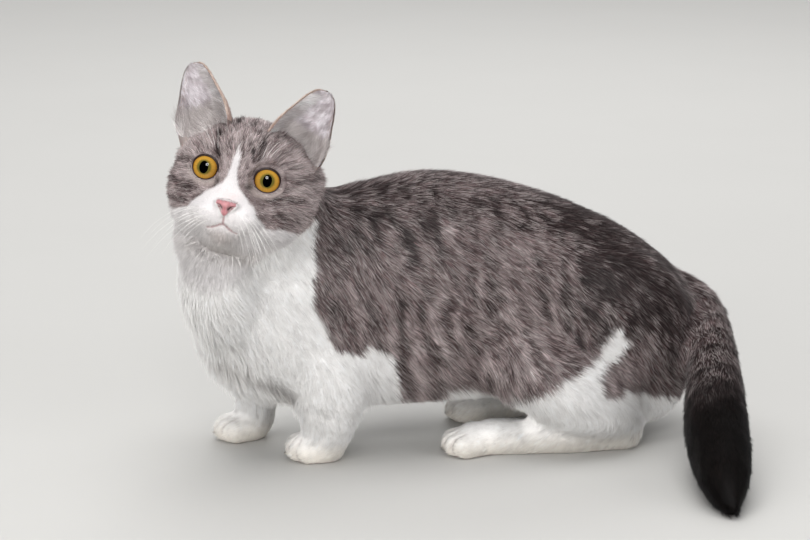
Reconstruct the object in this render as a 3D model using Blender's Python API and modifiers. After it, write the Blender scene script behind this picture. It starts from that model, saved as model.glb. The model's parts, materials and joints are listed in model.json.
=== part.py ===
"""A munchkin cat at life size, crouched on its short legs with its head turned to its left.

The cat faces -X and its left flank faces -Y. Its soles are at z = 0. The body is modelled whole,
in metres, and then parted into named nodes by thin cuts.
"""

import math

import bmesh
import bpy
from mathutils import Matrix, Vector
from mathutils.bvhtree import BVHTree

MM = 0.001

# Gap between nodes, and the grain of the fused body and of its small parts
GAP = 0.3 * MM
BULK_GRAIN = 3.0 * MM
BODY_GRAIN = 1.8 * MM
TAIL_GRAIN = 2.5 * MM
NOSE_GRAIN = 0.5 * MM
BODY_TRIANGLES = 6400
TAIL_TRIANGLES = 520
NOSE_TRIANGLES = 260
RING_SIDES = 28
STEPS = 4

# The trunk's stations along the spine: x, height of the back, height of the belly, half width
TRUNK = {
    "breast front": (-158, 136, 88, 23),
    "breast": (-149, 148, 62, 39),
    "fore chest": (-129, 158, 42, 48),
    "shoulders": (-95, 166, 31, 53),
    "behind shoulders": (-55, 171, 26, 56),
    "ribs": (-15, 178, 25, 59),
    "loin front": (20, 176, 25, 59),
    "loin": (60, 166, 27, 57),
    "hips": (100, 150, 31, 55),
    "croup": (133, 132, 37, 50),
    "rump": (158, 112, 45, 40),
    "tail head": (175, 92, 58, 25),
}
WAIST_SHARE = 0.46

# The neck's centre line with its radii: x, y, z, radius
NECK = {
    "base": (-90, 4, 112, 50),
    "middle": (-106, -3, 138, 47),
    "top": (-117, -16, 161, 43),
    "skull": (-124, -30, 176, 37),
}

# The tail's centre line with its radii
TAIL = {
    "root": (150, 6, 92, 20),
    "set": (175, -8, 79, 17.5),
    "hang": (173, -40, 65, 17),
    "swell": (162, -78, 49, 19.5),
    "middle": (150, -114, 32, 21.5),
    "low": (142, -142, 22.5, 21),
    "laid": (135, -167, 17, 18),
    "tip": (131.5, -182, 12.8, 14),
    "tip end": (130, -192, 9.2, 9.5),
}
TAIL_SPLITS = ((-55, "tail_root"), (-120, "tail_middle"))

# The head's own frame: x to the cat's left, y to the back of the skull, z up, from between the eyes
HEAD_PLACE = (-138.1, -70, 193)
HEAD_TURN = -16.5
HEAD_NOD = 9.0
HEAD_ROLL = 12.0
HEAD_SWAY = 0.12

# Ellipsoids of the head: centre and half lengths, mirrored where the centre is off the midline
SKULL = {
    "cranium": ((0, 36, 6), (37, 38, 28)),
    "temple": ((20, 25, 2), (22, 25, 19)),
    "ear root": ((22.5, 38, 1), (24, 22, 20)),
    "brow": ((0, 14, 10), (31, 18, 19)),
    "orbit": ((18, 12.5, -1), (18, 12, 15)),
    "cheek": ((22, 28, -13), (24, 27, 23)),
    "jowl": ((18, 18, -25), (22, 23, 17)),
    "mask": ((0, 10, -22), (31, 21, 17)),
    "muzzle": ((0, -1, -21), (20, 15, 13)),
    "whisker pad": ((10, -8, -25), (12.5, 11, 9.5)),
    "bridge": ((0, 1, -7), (13, 11.5, 19)),
    "chin": ((0, -4, -36.5), (10.5, 9, 8)),
    "throat": ((0, 24, -34), (28, 30, 18)),
}

# The ruff below the cheeks, in the cat's frame
RUFF = {
    "near": ((-142, -36, 150), (30, 30, 30)),
    "bib": ((-142, -28, 118), (27, 33, 38)),
    "throat": ((-136, -10, 132), (30, 34, 34)),
}

# Eyes: place, size of the ball, half width and half height of the opening, thickness of the lid
EYE_OUT = 17.7
EYE_DEEP = 8.6
EYE_RADIUS = 10.5
EYE_SPLAY = 8.0
OPENING = (7.8, 7.1)
LID_RADIUS = 1.2
EYE_SIDES = 14

# The nose pad's bulbs: centre and half lengths, and its nostrils
NOSE_BULBS = {
    "tip": ((0, -19.5, -17.6), (4.2, 3.6, 3.4)),
    "wing": ((4.0, -18.2, -17.4), (3.1, 3.2, 2.7)),
    "foot": ((0, -18.6, -21.0), (2.2, 2.9, 3.4)),
}
NOSTRIL = (3.3, -21.6, -18.6)
NOSTRIL_SIZE = (1.2, 2.2, 0.75)
NOSTRIL_SLOPE = 22.0

# The mouth: from under the nose to each corner, as x and z, and the grooves' and lips' radii
PHILTRUM = ((0, -23.5), (0, -27.0), (0, -31.0))
MOUTH = ((0, -30.7), (2.8, -31.8), (5.8, -33.6), (8.6, -35.2), (11.8, -35.4), (15.0, -33.8))
GROOVE = 0.6
LIP = 1.1
LIP_DROP = 1.3

# The ears' rows from the sunk root to the tip: share of the height, half width, depth of the cup
EAR_HEIGHT = 39.5
EAR_ROWS = {
    "sunk": (-0.4, 16.0, 15.0),
    "base": (0.0, 19.2, 16.5),
    "low": (0.28, 17.8, 14.0),
    "middle": (0.55, 13.8, 9.8),
    "high": (0.78, 10.4, 6.0),
    "rounded": (0.92, 7.2, 3.6),
    "tip": (1.0, 3.4, 1.5),
}
EAR_WALL = 2.0
EAR_SWEEP = 86.0
EAR_COLUMNS = 8
EAR_PLACES = {"left": (29.2, 21, 20.8), "right": (-28.5, 21, 22.8)}
EAR_LEANS = {"left": 19.0, "right": 27.5}
EAR_TURNS = {"left": 18.0, "right": 31.0}
EAR_PITCH = -6.0

# Legs: joints from the body down, as x, y, z and radius, for each side
FORELEGS = {
    "left": ((-74, -32, 68, 25), (-74, -34, 46, 24), (-75, -30, 27, 19.5), (-77, -26, 12, 16)),
    "right": ((-98, 34, 62, 23), (-103, 35, 42, 18), (-108, 34, 26, 15), (-111, 32, 12, 14)),
}
FOREPAWS = {"left": ((-79, -22, 9), 10.0), "right": ((-115, 31, 9), 4.0)}
SHANKS = {
    "left": ((48, -47, 58, 27), (72, -52, 44, 28), (100, -50, 28, 23), (114, -46, 16, 16)),
    "right": ((60, 47, 58, 27), (84, 52, 44, 28), (108, 50, 28, 23), (118, 46, 16, 16)),
}
HIND_FEET = {
    "left": ((114, -46, 13, 14.5), (84, -45, 11, 13.5), (50, -41, 10.5, 12.5), (28, -37, 10, 12.5)),
    "right": ((118, 46, 13, 14.5), (100, 45, 11, 13), (72, 41, 10.5, 12.5), (50, 38, 10, 12.5)),
}
HINDPAWS = {"left": ((19, -36, 9), 7.0), "right": ((41, 37, 9), -5.0)}

# Muscle masses: centre, half lengths and slope in the side view
MASSES = {
    "shoulder": ((-90, 30, 92), (36, 24, 50), -14.0),
    "haunch": ((106, 33, 78), (58, 30, 54), 24.0),
    "breech": ((139, 28, 40), (25, 24, 32), 20.0),
}

# A paw: palm, four toes fanned across its front
PALM = (14, 15, 12)
TOE = (9.8, 5.5, 8.4)
TOE_FORWARD = (9.5, 13.5, 13.5, 9.5)
TOE_ACROSS = (-10.5, -3.8, 3.8, 10.5)
TOE_DROP = 1.2

# Thin cuts: boxes round the lower legs, domes round shoulder and haunch, planes across the rest
BOXES = {
    "foreleg_left": ((-112, -70, -10), (-50, -4, 34)),
    "foreleg_right": ((-150, 6, -10), (-86, 70, 34)),
    "hind_foot_left": ((-20, -90, -10), (150, -12, 25)),
    "hind_foot_right": ((-20, 12, -10), (150, 90, 25)),
}
DOMES = {
    "shoulder": ((-86, 62, 84), (42, 40, 58)),
    "haunch": ((104, 66, 70), (72, 46, 68)),
}
PLANES = {
    "head": ((-116, -18, 164), (-0.36, -0.49, 0.79)),
    "neck": ((-118, 0, 140), (-0.459, 0.0, 0.889)),
    "chest": ((-45, 0, 100), (-1.0, 0.0, 0.0)),
    "abdomen": ((58, 0, 100), (-1.0, 0.0, 0.0)),
}
FOREPAW_HEIGHT = 17
HINDPAW_REACH = {"left": 36, "right": 58}

# Colours of the coat, the leather and the eyes
COLOURS = {
    "grey_coat": (0.22, 0.19, 0.19),
    "dark_coat": (0.07, 0.05, 0.05),
    "white_coat": (0.85, 0.83, 0.80),
    "nose_leather": (0.80, 0.38, 0.38),
    "amber_eye": (0.75, 0.42, 0.06),
}
ROUGHNESS = {"grey_coat": 0.85, "dark_coat": 0.85, "white_coat": 0.85, "nose_leather": 0.5, "amber_eye": 0.1}
WHITE_NODES = ("foreleg", "forepaw", "hind_foot", "hindpaw", "chest", "neck")


def metres(values):
    """The given millimetres as a vector in metres."""
    return Vector(values) * MM


def clear_scene():
    for old in list(bpy.data.objects):
        bpy.data.objects.remove(old)


def new_collection(name, shown=True):
    made = bpy.data.collections.new(name)
    made.hide_render = not shown
    bpy.context.scene.collection.children.link(made)
    return made


def new_object(name, mesh_data, collection):
    mesh = bpy.data.meshes.new(name)
    mesh_data.to_mesh(mesh)
    mesh_data.free()
    made = bpy.data.objects.new(name, mesh)
    collection.objects.link(made)
    return made


def coat_material(name, colour, roughness):
    """A Principled material in the part's own colour."""
    made = bpy.data.materials.new(name)
    made.use_nodes = True
    shader = made.node_tree.nodes["Principled BSDF"]
    shader.inputs["Base Color"].default_value = (*colour, 1.0)
    shader.inputs["Roughness"].default_value = roughness
    shader.inputs["Metallic"].default_value = 0.0
    return made


def ellipsoid(name, collection, centre, half_lengths, turn=None, sides=24):
    """A ball scaled to its three half lengths, turned, then set at its centre."""
    bm = bmesh.new()
    bmesh.ops.create_uvsphere(bm, u_segments=sides, v_segments=sides * 2 // 3, radius=1.0)
    place = Matrix.Translation(metres(centre)) @ (turn or Matrix()) @ Matrix.Diagonal((*metres(half_lengths), 1.0))
    bmesh.ops.transform(bm, matrix=place, verts=bm.verts)
    return new_object(name, bm, collection)


def smooth_rows(rows, steps=STEPS):
    """Rows of numbers joined by a Catmull-Rom curve, with extra rows between each pair."""
    rows = [Vector(row) for row in rows]
    padded = [2 * rows[0] - rows[1], *rows, 2 * rows[-1] - rows[-2]]
    made = []
    for a, b, c, d in zip(padded, padded[1:], padded[2:], padded[3:]):
        for step in range(steps):
            t = step / steps
            made.append(
                0.5 * (2 * b + (c - a) * t + (2 * a - 5 * b + 4 * c - d) * t**2 + (3 * b - a - 3 * c + d) * t**3)
            )
    return [*made, rows[-1]]


def loft(name, collection, rings):
    """A closed skin over rings that have the same number of points, each end closed to its middle."""
    bm = bmesh.new()
    rows = [[bm.verts.new(point) for point in ring] for ring in rings]
    count = len(rows[0])
    for lower, upper in zip(rows, rows[1:]):
        for k in range(count):
            bm.faces.new((lower[k], lower[(k + 1) % count], upper[(k + 1) % count], upper[k]))
    for row in (rows[0], rows[-1]):
        middle = bm.verts.new(sum((vert.co for vert in row), Vector()) / count)
        for k in range(count):
            bm.faces.new((row[(k + 1) % count], row[k], middle))
    bmesh.ops.recalc_face_normals(bm, faces=bm.faces)
    return new_object(name, bm, collection)


def ring(centre, across, upward, half_width, rise, drop):
    """Points round an egg shaped section, with its own height above and below the centre."""
    points = []
    for k in range(RING_SIDES):
        angle = 2 * math.pi * k / RING_SIDES
        height = rise if math.cos(angle) > 0 else drop
        points.append(centre + across * half_width * math.sin(angle) + upward * height * math.cos(angle))
    return points


def trunk(collection):
    """The body from breast to tail head, in upright sections."""
    rings = []
    for x, back, belly, half_width in smooth_rows([list(row) for row in TRUNK.values()]):
        waist = belly + WAIST_SHARE * (back - belly)
        rings.append(
            ring(metres((x, 0, waist)), Vector((0, 1, 0)), Vector((0, 0, 1)),
                 half_width * MM, (back - waist) * MM, (waist - belly) * MM)
        )
    return loft("trunk", collection, rings)


def limb(name, collection, joints):
    """A round limb along a smooth path of joints, each with its radius, and a ball at both ends."""
    rows = smooth_rows(joints)
    centres = [metres(row[:3]) for row in rows]
    rings = []
    for k, row in enumerate(rows):
        before, after = centres[max(k - 1, 0)], centres[min(k + 1, len(rows) - 1)]
        along = (after - before).normalized()
        across = along.cross(Vector((0, 0, 1)))
        across = across.normalized() if across.length > 0.2 else along.cross(Vector((1, 0, 0))).normalized()
        rings.append(ring(centres[k], across, across.cross(along), *[row[3] * MM] * 3))
    made = [loft(name, collection, rings)]
    for end in (rows[0], rows[-1]):
        made.append(ellipsoid(name + "_end", collection, end[:3], [end[3] * 0.98] * 3))
    return made


def paw(name, collection, centre, heading):
    """A palm and four toes that point to -X, turned by the heading in degrees."""
    turn = Matrix.Rotation(math.radians(heading), 4, "Z")
    made = [ellipsoid(name + "_palm", collection, centre, PALM, turn)]
    for k, (forward, across) in enumerate(zip(TOE_FORWARD, TOE_ACROSS)):
        offset = turn @ Vector((-forward, across, -TOE_DROP))
        made.append(ellipsoid(f"{name}_toe_{k}", collection, Vector(centre) + offset, TOE, turn))
    return made


def head_matrix():
    """From the head's own frame to the cat's: rolled, nodded, turned, then set in place."""
    turn = (
        Matrix.Rotation(math.radians(HEAD_TURN), 4, "Z")
        @ Matrix.Rotation(math.radians(-HEAD_NOD), 4, "X")
        @ Matrix.Rotation(math.radians(HEAD_ROLL), 4, "Y")
    )
    return Matrix.Translation(metres(HEAD_PLACE)) @ turn


def both_sides(centre):
    """The signs by which a head form is repeated across the midline."""
    return (1, -1) if centre[0] else (1,)


def head_forms(collection):
    """The ellipsoids of skull, cheeks and muzzle, swayed to its left behind the face, in the cat's frame."""
    made = []
    for name, (centre, half_lengths) in SKULL.items():
        for sign in both_sides(centre):
            sway = HEAD_SWAY * max(centre[1], 0)
            form = ellipsoid(name, collection, (sign * centre[0] + sway, *centre[1:]), half_lengths)
            form.data.transform(head_matrix())
            made.append(form)
    return made


def muscle_forms(collection):
    made = []
    for name, (centre, half_lengths, slope) in MASSES.items():
        turn = Matrix.Rotation(math.radians(slope), 4, "Y")
        for sign in (1, -1):
            made.append(ellipsoid(name, collection, (centre[0], sign * centre[1], centre[2]), half_lengths, turn))
    return made


def join_meshes(name, pieces, collection):
    """One object that holds the meshes of several, which are removed."""
    bm = bmesh.new()
    for piece in pieces:
        mesh = piece.data.copy()
        mesh.transform(piece.matrix_world)
        bm.from_mesh(mesh)
        bpy.data.meshes.remove(mesh)
        bpy.data.objects.remove(piece)
    return new_object(name, bm, collection)


def apply_modifiers(made):
    """Bakes an object's modifiers into its mesh."""
    graph = bpy.context.evaluated_depsgraph_get()
    mesh = bpy.data.meshes.new_from_object(made.evaluated_get(graph))
    made.modifiers.clear()
    made.data = mesh
    return made


def fuse(made, grain, smoothing, triangles=None):
    """Melts overlapping forms into one skin and softens it. It may be thinned to a number of triangles."""
    remesh = made.modifiers.new("melt", "REMESH")
    remesh.mode = "VOXEL"
    remesh.voxel_size = grain
    soften = made.modifiers.new("soften", "SMOOTH")
    soften.factor = 0.5
    soften.iterations = smoothing
    apply_modifiers(made)
    if triangles is None:
        return made
    thin = made.modifiers.new("thin", "DECIMATE")
    thin.ratio = triangles / sum(len(face.vertices) - 2 for face in made.data.polygons)
    return apply_modifiers(made)


def copy_of(made, name, collection):
    twin = bpy.data.objects.new(name, made.data.copy())
    collection.objects.link(twin)
    return twin


def swollen(made, by, collection):
    """A copy whose surface stands out by a distance."""
    twin = copy_of(made, made.name + "_swollen", collection)
    for vert, normal in zip(twin.data.vertices, [vert.normal.copy() for vert in made.data.vertices]):
        vert.co = vert.co + normal * by
    return twin


def combine(made, other, operation):
    """One Boolean of a node with a closed object, applied, after which the object is removed."""
    boolean = made.modifiers.new(operation.lower(), "BOOLEAN")
    boolean.operation = operation
    boolean.object = other
    apply_modifiers(made)
    bpy.data.objects.remove(other)
    return keep_largest(made)


def keep_largest(made):
    """Drops every closed surface but the one with the most volume."""
    bm = bmesh.new()
    bm.from_mesh(made.data)
    bmesh.ops.triangulate(bm, faces=bm.faces)
    bmesh.ops.remove_doubles(bm, verts=bm.verts, dist=1e-7)
    groups = []
    left = set(bm.verts)
    while left:
        stack = [left.pop()]
        group = {stack[0]}
        while stack:
            for edge in stack.pop().link_edges:
                for vert in edge.verts:
                    if vert in left:
                        left.discard(vert)
                        group.add(vert)
                        stack.append(vert)
        faces = {face for vert in group for face in vert.link_faces}
        volume = sum(face.verts[0].co.dot(face.verts[1].co.cross(face.verts[2].co)) for face in faces)
        groups.append((volume, group))
    largest = max(groups, key=lambda item: item[0])[1]
    bmesh.ops.delete(bm, geom=[vert for vert in bm.verts if vert not in largest], context="VERTS")
    bm.to_mesh(made.data)
    bm.free()
    return made


def slice_away(made, point, normal):
    """Cuts off what lies on the normal's side of a plane and closes the cut."""
    bm = bmesh.new()
    bm.from_mesh(made.data)
    geometry = bm.verts[:] + bm.edges[:] + bm.faces[:]
    cut = bmesh.ops.bisect_plane(bm, geom=geometry, plane_co=point, plane_no=normal, clear_outer=True)
    rims = [edge for edge in cut["geom_cut"] if isinstance(edge, bmesh.types.BMEdge)]
    bmesh.ops.holes_fill(bm, edges=rims, sides=0)
    bm.to_mesh(made.data)
    bm.free()
    return keep_largest(made)


def split_at(made, name, point, normal, collection):
    """Parts a node at a plane, with a gap. The new node lies on the normal's side."""
    normal = Vector(normal).normalized()
    twin = copy_of(made, name, collection)
    slice_away(twin, Vector(point) + normal * GAP / 2, -normal)
    slice_away(made, Vector(point) - normal * GAP / 2, normal)
    return twin


def carve(made, name, shape, collection):
    """Parts a node with a closed shape, with a gap. The new node is what lies inside it."""
    twin = copy_of(made, name, collection)
    combine(twin, shape(-GAP / 2), "INTERSECT")
    combine(made, shape(GAP / 2), "DIFFERENCE")
    return twin


def box_shape(corners, collection):
    """A maker of the box between two corners, swollen by a distance."""
    low, high = (metres(corner) for corner in corners)

    def make(swell):
        bm = bmesh.new()
        bmesh.ops.create_cube(bm, size=1.0)
        size = high - low + Vector((2, 2, 2)) * swell
        bmesh.ops.transform(
            bm, matrix=Matrix.Translation((low + high) / 2) @ Matrix.Diagonal((*size, 1.0)), verts=bm.verts
        )
        return new_object("box", bm, collection)

    return make


def dome_shape(centre, half_lengths, collection):
    """A maker of an ellipsoid, swollen by a distance."""

    def make(swell):
        return ellipsoid("dome", collection, centre, [length + swell / MM for length in half_lengths], sides=20)

    return make


def whole_body(forms, cat):
    """Trunk, neck, head and legs melted into one skin that stands on the floor."""
    bulk = [trunk(forms), *limb("neck", forms, NECK.values()), *muscle_forms(forms)]
    for centre, half_lengths in RUFF.values():
        bulk.append(ellipsoid("ruff", forms, centre, half_lengths))
    for side in ("left", "right"):
        bulk += limb("shank_" + side, forms, SHANKS[side])
        bulk += limb("upper_arm_" + side, forms, FORELEGS[side][:3])
    pieces = [fuse(join_meshes("bulk", bulk, forms), BULK_GRAIN, 24), *head_forms(forms)]
    for side in ("left", "right"):
        pieces += limb("foreleg_" + side, forms, FORELEGS[side])
        pieces += limb("hind_foot_" + side, forms, HIND_FEET[side])
        pieces += paw("forepaw_" + side, forms, *FOREPAWS[side])
        pieces += paw("hindpaw_" + side, forms, *HINDPAWS[side])
    body = fuse(join_meshes("rump", pieces, cat), BODY_GRAIN, 17, BODY_TRIANGLES)
    return slice_away(body, (0, 0, 0), (0, 0, -1))


def tail(body, forms, cat):
    """The tail, laid on the floor at its tip, cut clear of the body and parted into three lengths."""
    made = fuse(join_meshes("tail_tip", limb("tail", forms, TAIL.values()), cat), TAIL_GRAIN, 4, TAIL_TRIANGLES)
    slice_away(made, (0, 0, 0), (0, 0, -1))
    combine(made, swollen(body, GAP, forms), "DIFFERENCE")
    for y, name in TAIL_SPLITS:
        split_at(made, name, metres((0, y, 0)), (0, 1, 0.35), cat)


def ear(side, body, forms, cat):
    """A cupped shell on the crown, open to the front, cut clear of the head."""
    bm = bmesh.new()
    grid = []
    for share, half_width, depth in smooth_rows(EAR_ROWS.values(), 2):
        row = []
        for k in range(EAR_COLUMNS + 1):
            angle = math.radians(EAR_SWEEP * (2 * k / EAR_COLUMNS - 1))
            point = (half_width * math.sin(angle), depth * math.cos(angle), share * EAR_HEIGHT)
            row.append(bm.verts.new(metres(point)))
        grid.append(row)
    for lower, upper in zip(grid, grid[1:]):
        for k in range(EAR_COLUMNS):
            bm.faces.new((lower[k + 1], lower[k], upper[k], upper[k + 1]))
    made = new_object("ear_" + side, bm, cat)
    wall = made.modifiers.new("wall", "SOLIDIFY")
    wall.thickness = EAR_WALL * MM
    wall.offset = -1.0
    apply_modifiers(made)
    sign = 1 if side == "left" else -1
    place = (
        Matrix.Translation(metres(EAR_PLACES[side]))
        @ Matrix.Rotation(math.radians(sign * EAR_TURNS[side]), 4, "Z")
        @ Matrix.Rotation(math.radians(sign * EAR_LEANS[side]), 4, "Y")
        @ Matrix.Rotation(math.radians(EAR_PITCH), 4, "X")
    )
    made.data.transform(head_matrix() @ place)
    return combine(made, swollen(body, GAP, forms), "DIFFERENCE")


def eye_matrix(sign):
    """From an eyeball's own frame, which looks to -y, to the cat's."""
    return (
        head_matrix()
        @ Matrix.Translation(metres((sign * EYE_OUT, EYE_DEEP, 0)))
        @ Matrix.Rotation(math.radians(sign * EYE_SPLAY), 4, "Z")
    )


def eyeball(name, collection, sign, radius):
    made = ellipsoid(name, collection, (0, 0, 0), (radius,) * 3, sides=EYE_SIDES)
    made.data.transform(eye_matrix(sign))
    return made


def lid(collection, sign):
    """The rolled rim round an eye's opening."""
    forward = math.sqrt(EYE_RADIUS**2 - OPENING[0] ** 2)
    rows = []
    for k in range(EYE_SIDES * 2):
        angle = math.pi * k / EYE_SIDES
        x, z = (OPENING[0] + LID_RADIUS) * math.cos(angle), (OPENING[1] + LID_RADIUS) * math.sin(angle)
        rows.append((Vector((x, -forward, z)), Vector((math.cos(angle), 0, math.sin(angle)))))
    bm = bmesh.new()
    rings = []
    for centre, outward in rows:
        points = []
        for j in range(8):
            turn = math.pi * j / 4
            points.append((centre + LID_RADIUS * (outward * math.cos(turn) + Vector((0, 1, 0)) * math.sin(turn))) * MM)
        rings.append([bm.verts.new(point) for point in points])
    for k in range(len(rings)):
        lower, upper = rings[k], rings[(k + 1) % len(rings)]
        for j in range(8):
            bm.faces.new((lower[j], lower[(j + 1) % 8], upper[(j + 1) % 8], upper[j]))
    bmesh.ops.recalc_face_normals(bm, faces=bm.faces)
    made = new_object("lid", bm, collection)
    made.data.transform(eye_matrix(sign))
    return made


def opening(collection, sign):
    """A short plug as wide as the gap between the lids, in front of the eyeball's middle."""
    made = ellipsoid("opening", collection, (0, -EYE_RADIUS, 0), (OPENING[0], EYE_RADIUS, OPENING[1]), sides=EYE_SIDES)
    made.data.transform(eye_matrix(sign))
    return made


def on_face(tree, x, z):
    """The point of the face straight behind x and z of the head's frame."""
    inward = (head_matrix().to_3x3() @ Vector((0, 1, 0))).normalized()
    start = head_matrix() @ metres((x, -60, z))
    return tree.ray_cast(start, inward)[0]


def face_tube(name, collection, points, radius):
    """A thin closed tube along points in metres."""
    curve = bpy.data.curves.new(name, "CURVE")
    curve.dimensions = "3D"
    curve.bevel_depth = radius * MM
    curve.bevel_resolution = 1
    curve.use_fill_caps = True
    spline = curve.splines.new("POLY")
    spline.points.add(len(points) - 1)
    for target, point in zip(spline.points, points):
        target.co = (*point, 1.0)
    drawn = bpy.data.objects.new(name, curve)
    collection.objects.link(drawn)
    graph = bpy.context.evaluated_depsgraph_get()
    bm = bmesh.new()
    bm.from_mesh(drawn.evaluated_get(graph).to_mesh())
    bmesh.ops.remove_doubles(bm, verts=bm.verts, dist=1e-5)
    bmesh.ops.recalc_face_normals(bm, faces=bm.faces)
    bpy.data.objects.remove(drawn)
    return new_object(name, bm, collection)


def face_of(head, forms, cat):
    """Lids, eye sockets, lips, mouth and philtrum of the head, with the eyes and the nose in place."""
    tree = BVHTree.FromPolygons([v.co for v in head.data.vertices], [p.vertices for p in head.data.polygons])
    mouth = [(-x, z) for x, z in reversed(MOUTH[1:])] + list(MOUTH)
    lip = [on_face(tree, x, z - LIP_DROP) for x, z in mouth[1:-1]]
    combine(head, face_tube("lip", forms, lip, LIP), "UNION")
    combine(head, face_tube("mouth", forms, [on_face(tree, x, z) for x, z in mouth], GROOVE), "DIFFERENCE")
    combine(head, face_tube("philtrum", forms, [on_face(tree, x, z) for x, z in PHILTRUM], GROOVE), "DIFFERENCE")
    for side, sign in (("left", 1), ("right", -1)):
        combine(head, lid(forms, sign), "UNION")
        combine(head, opening(forms, sign), "DIFFERENCE")
        combine(head, eyeball("socket", forms, sign, EYE_RADIUS + GAP / MM), "DIFFERENCE")
        eyeball("eye_" + side, cat, sign, EYE_RADIUS)
    nose = nose_pad(forms, cat)
    combine(head, swollen(nose, GAP, forms), "DIFFERENCE")
    for sign in (1, -1):
        turn = Matrix.Rotation(math.radians(-sign * NOSTRIL_SLOPE), 4, "Y")
        hole = ellipsoid("nostril", forms, (sign * NOSTRIL[0], *NOSTRIL[1:]), NOSTRIL_SIZE, turn, sides=10)
        hole.data.transform(head_matrix())
        combine(nose, hole, "DIFFERENCE")


def nose_pad(forms, cat):
    """The bare leather between the nostrils and below them."""
    bulbs = []
    for centre, half_lengths in NOSE_BULBS.values():
        for sign in both_sides(centre):
            bulbs.append(ellipsoid("bulb", forms, (sign * centre[0], *centre[1:]), half_lengths))
    nose = fuse(join_meshes("nose", bulbs, cat), NOSE_GRAIN, 3, NOSE_TRIANGLES)
    nose.data.transform(head_matrix())
    return nose


def part_body(body, forms, cat):
    """Cuts the whole body into its named nodes. What is left of it is the rump. Returns the head."""
    for name, corners in BOXES.items():
        carve(body, name, box_shape(corners, forms), cat)
    for side in ("left", "right"):
        sign = -1 if side == "left" else 1
        for name, (centre, half_lengths) in DOMES.items():
            place = (centre[0], sign * centre[1], centre[2])
            carve(body, f"{name}_{side}", dome_shape(place, half_lengths, forms), cat)
        foreleg = bpy.data.objects["foreleg_" + side]
        split_at(foreleg, "forepaw_" + side, metres((0, 0, FOREPAW_HEIGHT)), (0, 0, -1), cat)
        foot = bpy.data.objects["hind_foot_" + side]
        split_at(foot, "hindpaw_" + side, metres((HINDPAW_REACH[side], 0, 0)), (-1, 0, 0), cat)
    head = split_at(body, "head", metres(PLANES["head"][0]), PLANES["head"][1], cat)
    for name in ("neck", "chest", "abdomen"):
        split_at(body, name, metres(PLANES[name][0]), PLANES[name][1], cat)
    return head


def dress(cat):
    """Gives each node its colour and rounds its shading."""
    materials = {name: coat_material(name, colour, ROUGHNESS[name]) for name, colour in COLOURS.items()}
    for node in cat.objects:
        slot = "grey_coat"
        if node.name == "nose":
            slot = "nose_leather"
        elif node.name == "tail_tip":
            slot = "dark_coat"
        elif node.name.startswith("eye_"):
            slot = "amber_eye"
        elif node.name.startswith(WHITE_NODES):
            slot = "white_coat"
        node.data.materials.clear()
        node.data.materials.append(materials[slot])
        node.data.shade_smooth()
        node.data.set_sharp_from_angle(angle=math.radians(50))


def stand_at_origin(cat):
    """Hangs every node on one empty, moved so that the box's bottom centre is the origin."""
    corners = [node.matrix_world @ vert.co for node in cat.objects for vert in node.data.vertices]
    low = Vector([min(point[axis] for point in corners) for axis in range(3)])
    high = Vector([max(point[axis] for point in corners) for axis in range(3)])
    root = bpy.data.objects.new("cat_root", None)
    for node in cat.objects:
        node.parent = root
    cat.objects.link(root)
    root.location = -Vector(((low.x + high.x) / 2, (low.y + high.y) / 2, low.z))


def main():
    clear_scene()
    cat = new_collection("munchkin_cat")
    forms = new_collection("forms", shown=False)
    body = whole_body(forms, cat)
    tail(body, forms, cat)
    for side in ("left", "right"):
        ear(side, body, forms, cat)
    head = part_body(body, forms, cat)
    face_of(head, forms, cat)
    dress(cat)
    stand_at_origin(cat)


main()
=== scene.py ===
"""The looks of a life-size short-legged cat.

The script builds skin, coat, ears, eyes, nose, lips, whiskers, floor, light and camera. Lengths are in
millimetres in the cat's own frame, whose origin is on the floor under the middle of the body. The cat faces
-X and its left side faces -Y. Studio.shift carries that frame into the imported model's, in metres.
"""

import json
import logging
import math
import sys
from collections.abc import Iterator
from contextlib import contextmanager
from dataclasses import astuple, dataclass, field, fields
from enum import Enum
from itertools import product

import bpy
import numpy as np
from mathutils import Matrix, Vector
from mathutils.bvhtree import BVHTree
from mathutils.kdtree import KDTree

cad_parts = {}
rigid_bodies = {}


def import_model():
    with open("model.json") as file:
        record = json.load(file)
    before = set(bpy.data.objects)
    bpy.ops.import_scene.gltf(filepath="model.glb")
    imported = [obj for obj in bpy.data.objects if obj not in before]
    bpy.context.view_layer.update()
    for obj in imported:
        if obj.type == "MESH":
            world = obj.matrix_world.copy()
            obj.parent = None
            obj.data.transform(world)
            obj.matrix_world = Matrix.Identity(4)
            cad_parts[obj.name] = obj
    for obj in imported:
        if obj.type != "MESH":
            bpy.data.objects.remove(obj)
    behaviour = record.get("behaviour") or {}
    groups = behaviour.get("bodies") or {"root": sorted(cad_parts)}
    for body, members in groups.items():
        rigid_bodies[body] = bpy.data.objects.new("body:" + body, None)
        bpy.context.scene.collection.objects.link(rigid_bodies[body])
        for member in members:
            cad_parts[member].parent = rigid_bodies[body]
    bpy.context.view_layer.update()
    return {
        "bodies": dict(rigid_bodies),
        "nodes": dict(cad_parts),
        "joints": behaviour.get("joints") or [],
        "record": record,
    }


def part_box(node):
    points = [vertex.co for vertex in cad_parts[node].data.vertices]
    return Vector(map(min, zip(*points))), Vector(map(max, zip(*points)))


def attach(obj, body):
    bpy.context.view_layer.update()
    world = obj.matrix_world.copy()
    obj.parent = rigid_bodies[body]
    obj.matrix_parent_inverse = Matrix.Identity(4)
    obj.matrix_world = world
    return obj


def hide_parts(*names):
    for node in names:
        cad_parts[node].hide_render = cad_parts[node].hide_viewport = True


LOG = logging.getLogger("cat")
MM = 0.001
SIDES = {"left": 1, "right": -1}
UNWRAP = "OFBake"
# The colour attribute that materials read; on the body it holds the markings with their painted shade.
MARKED = "Markings"
GAZE = "Gaze"
GAZE_SPAN = 22.0
FAR_AWAY = 1e9

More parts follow.
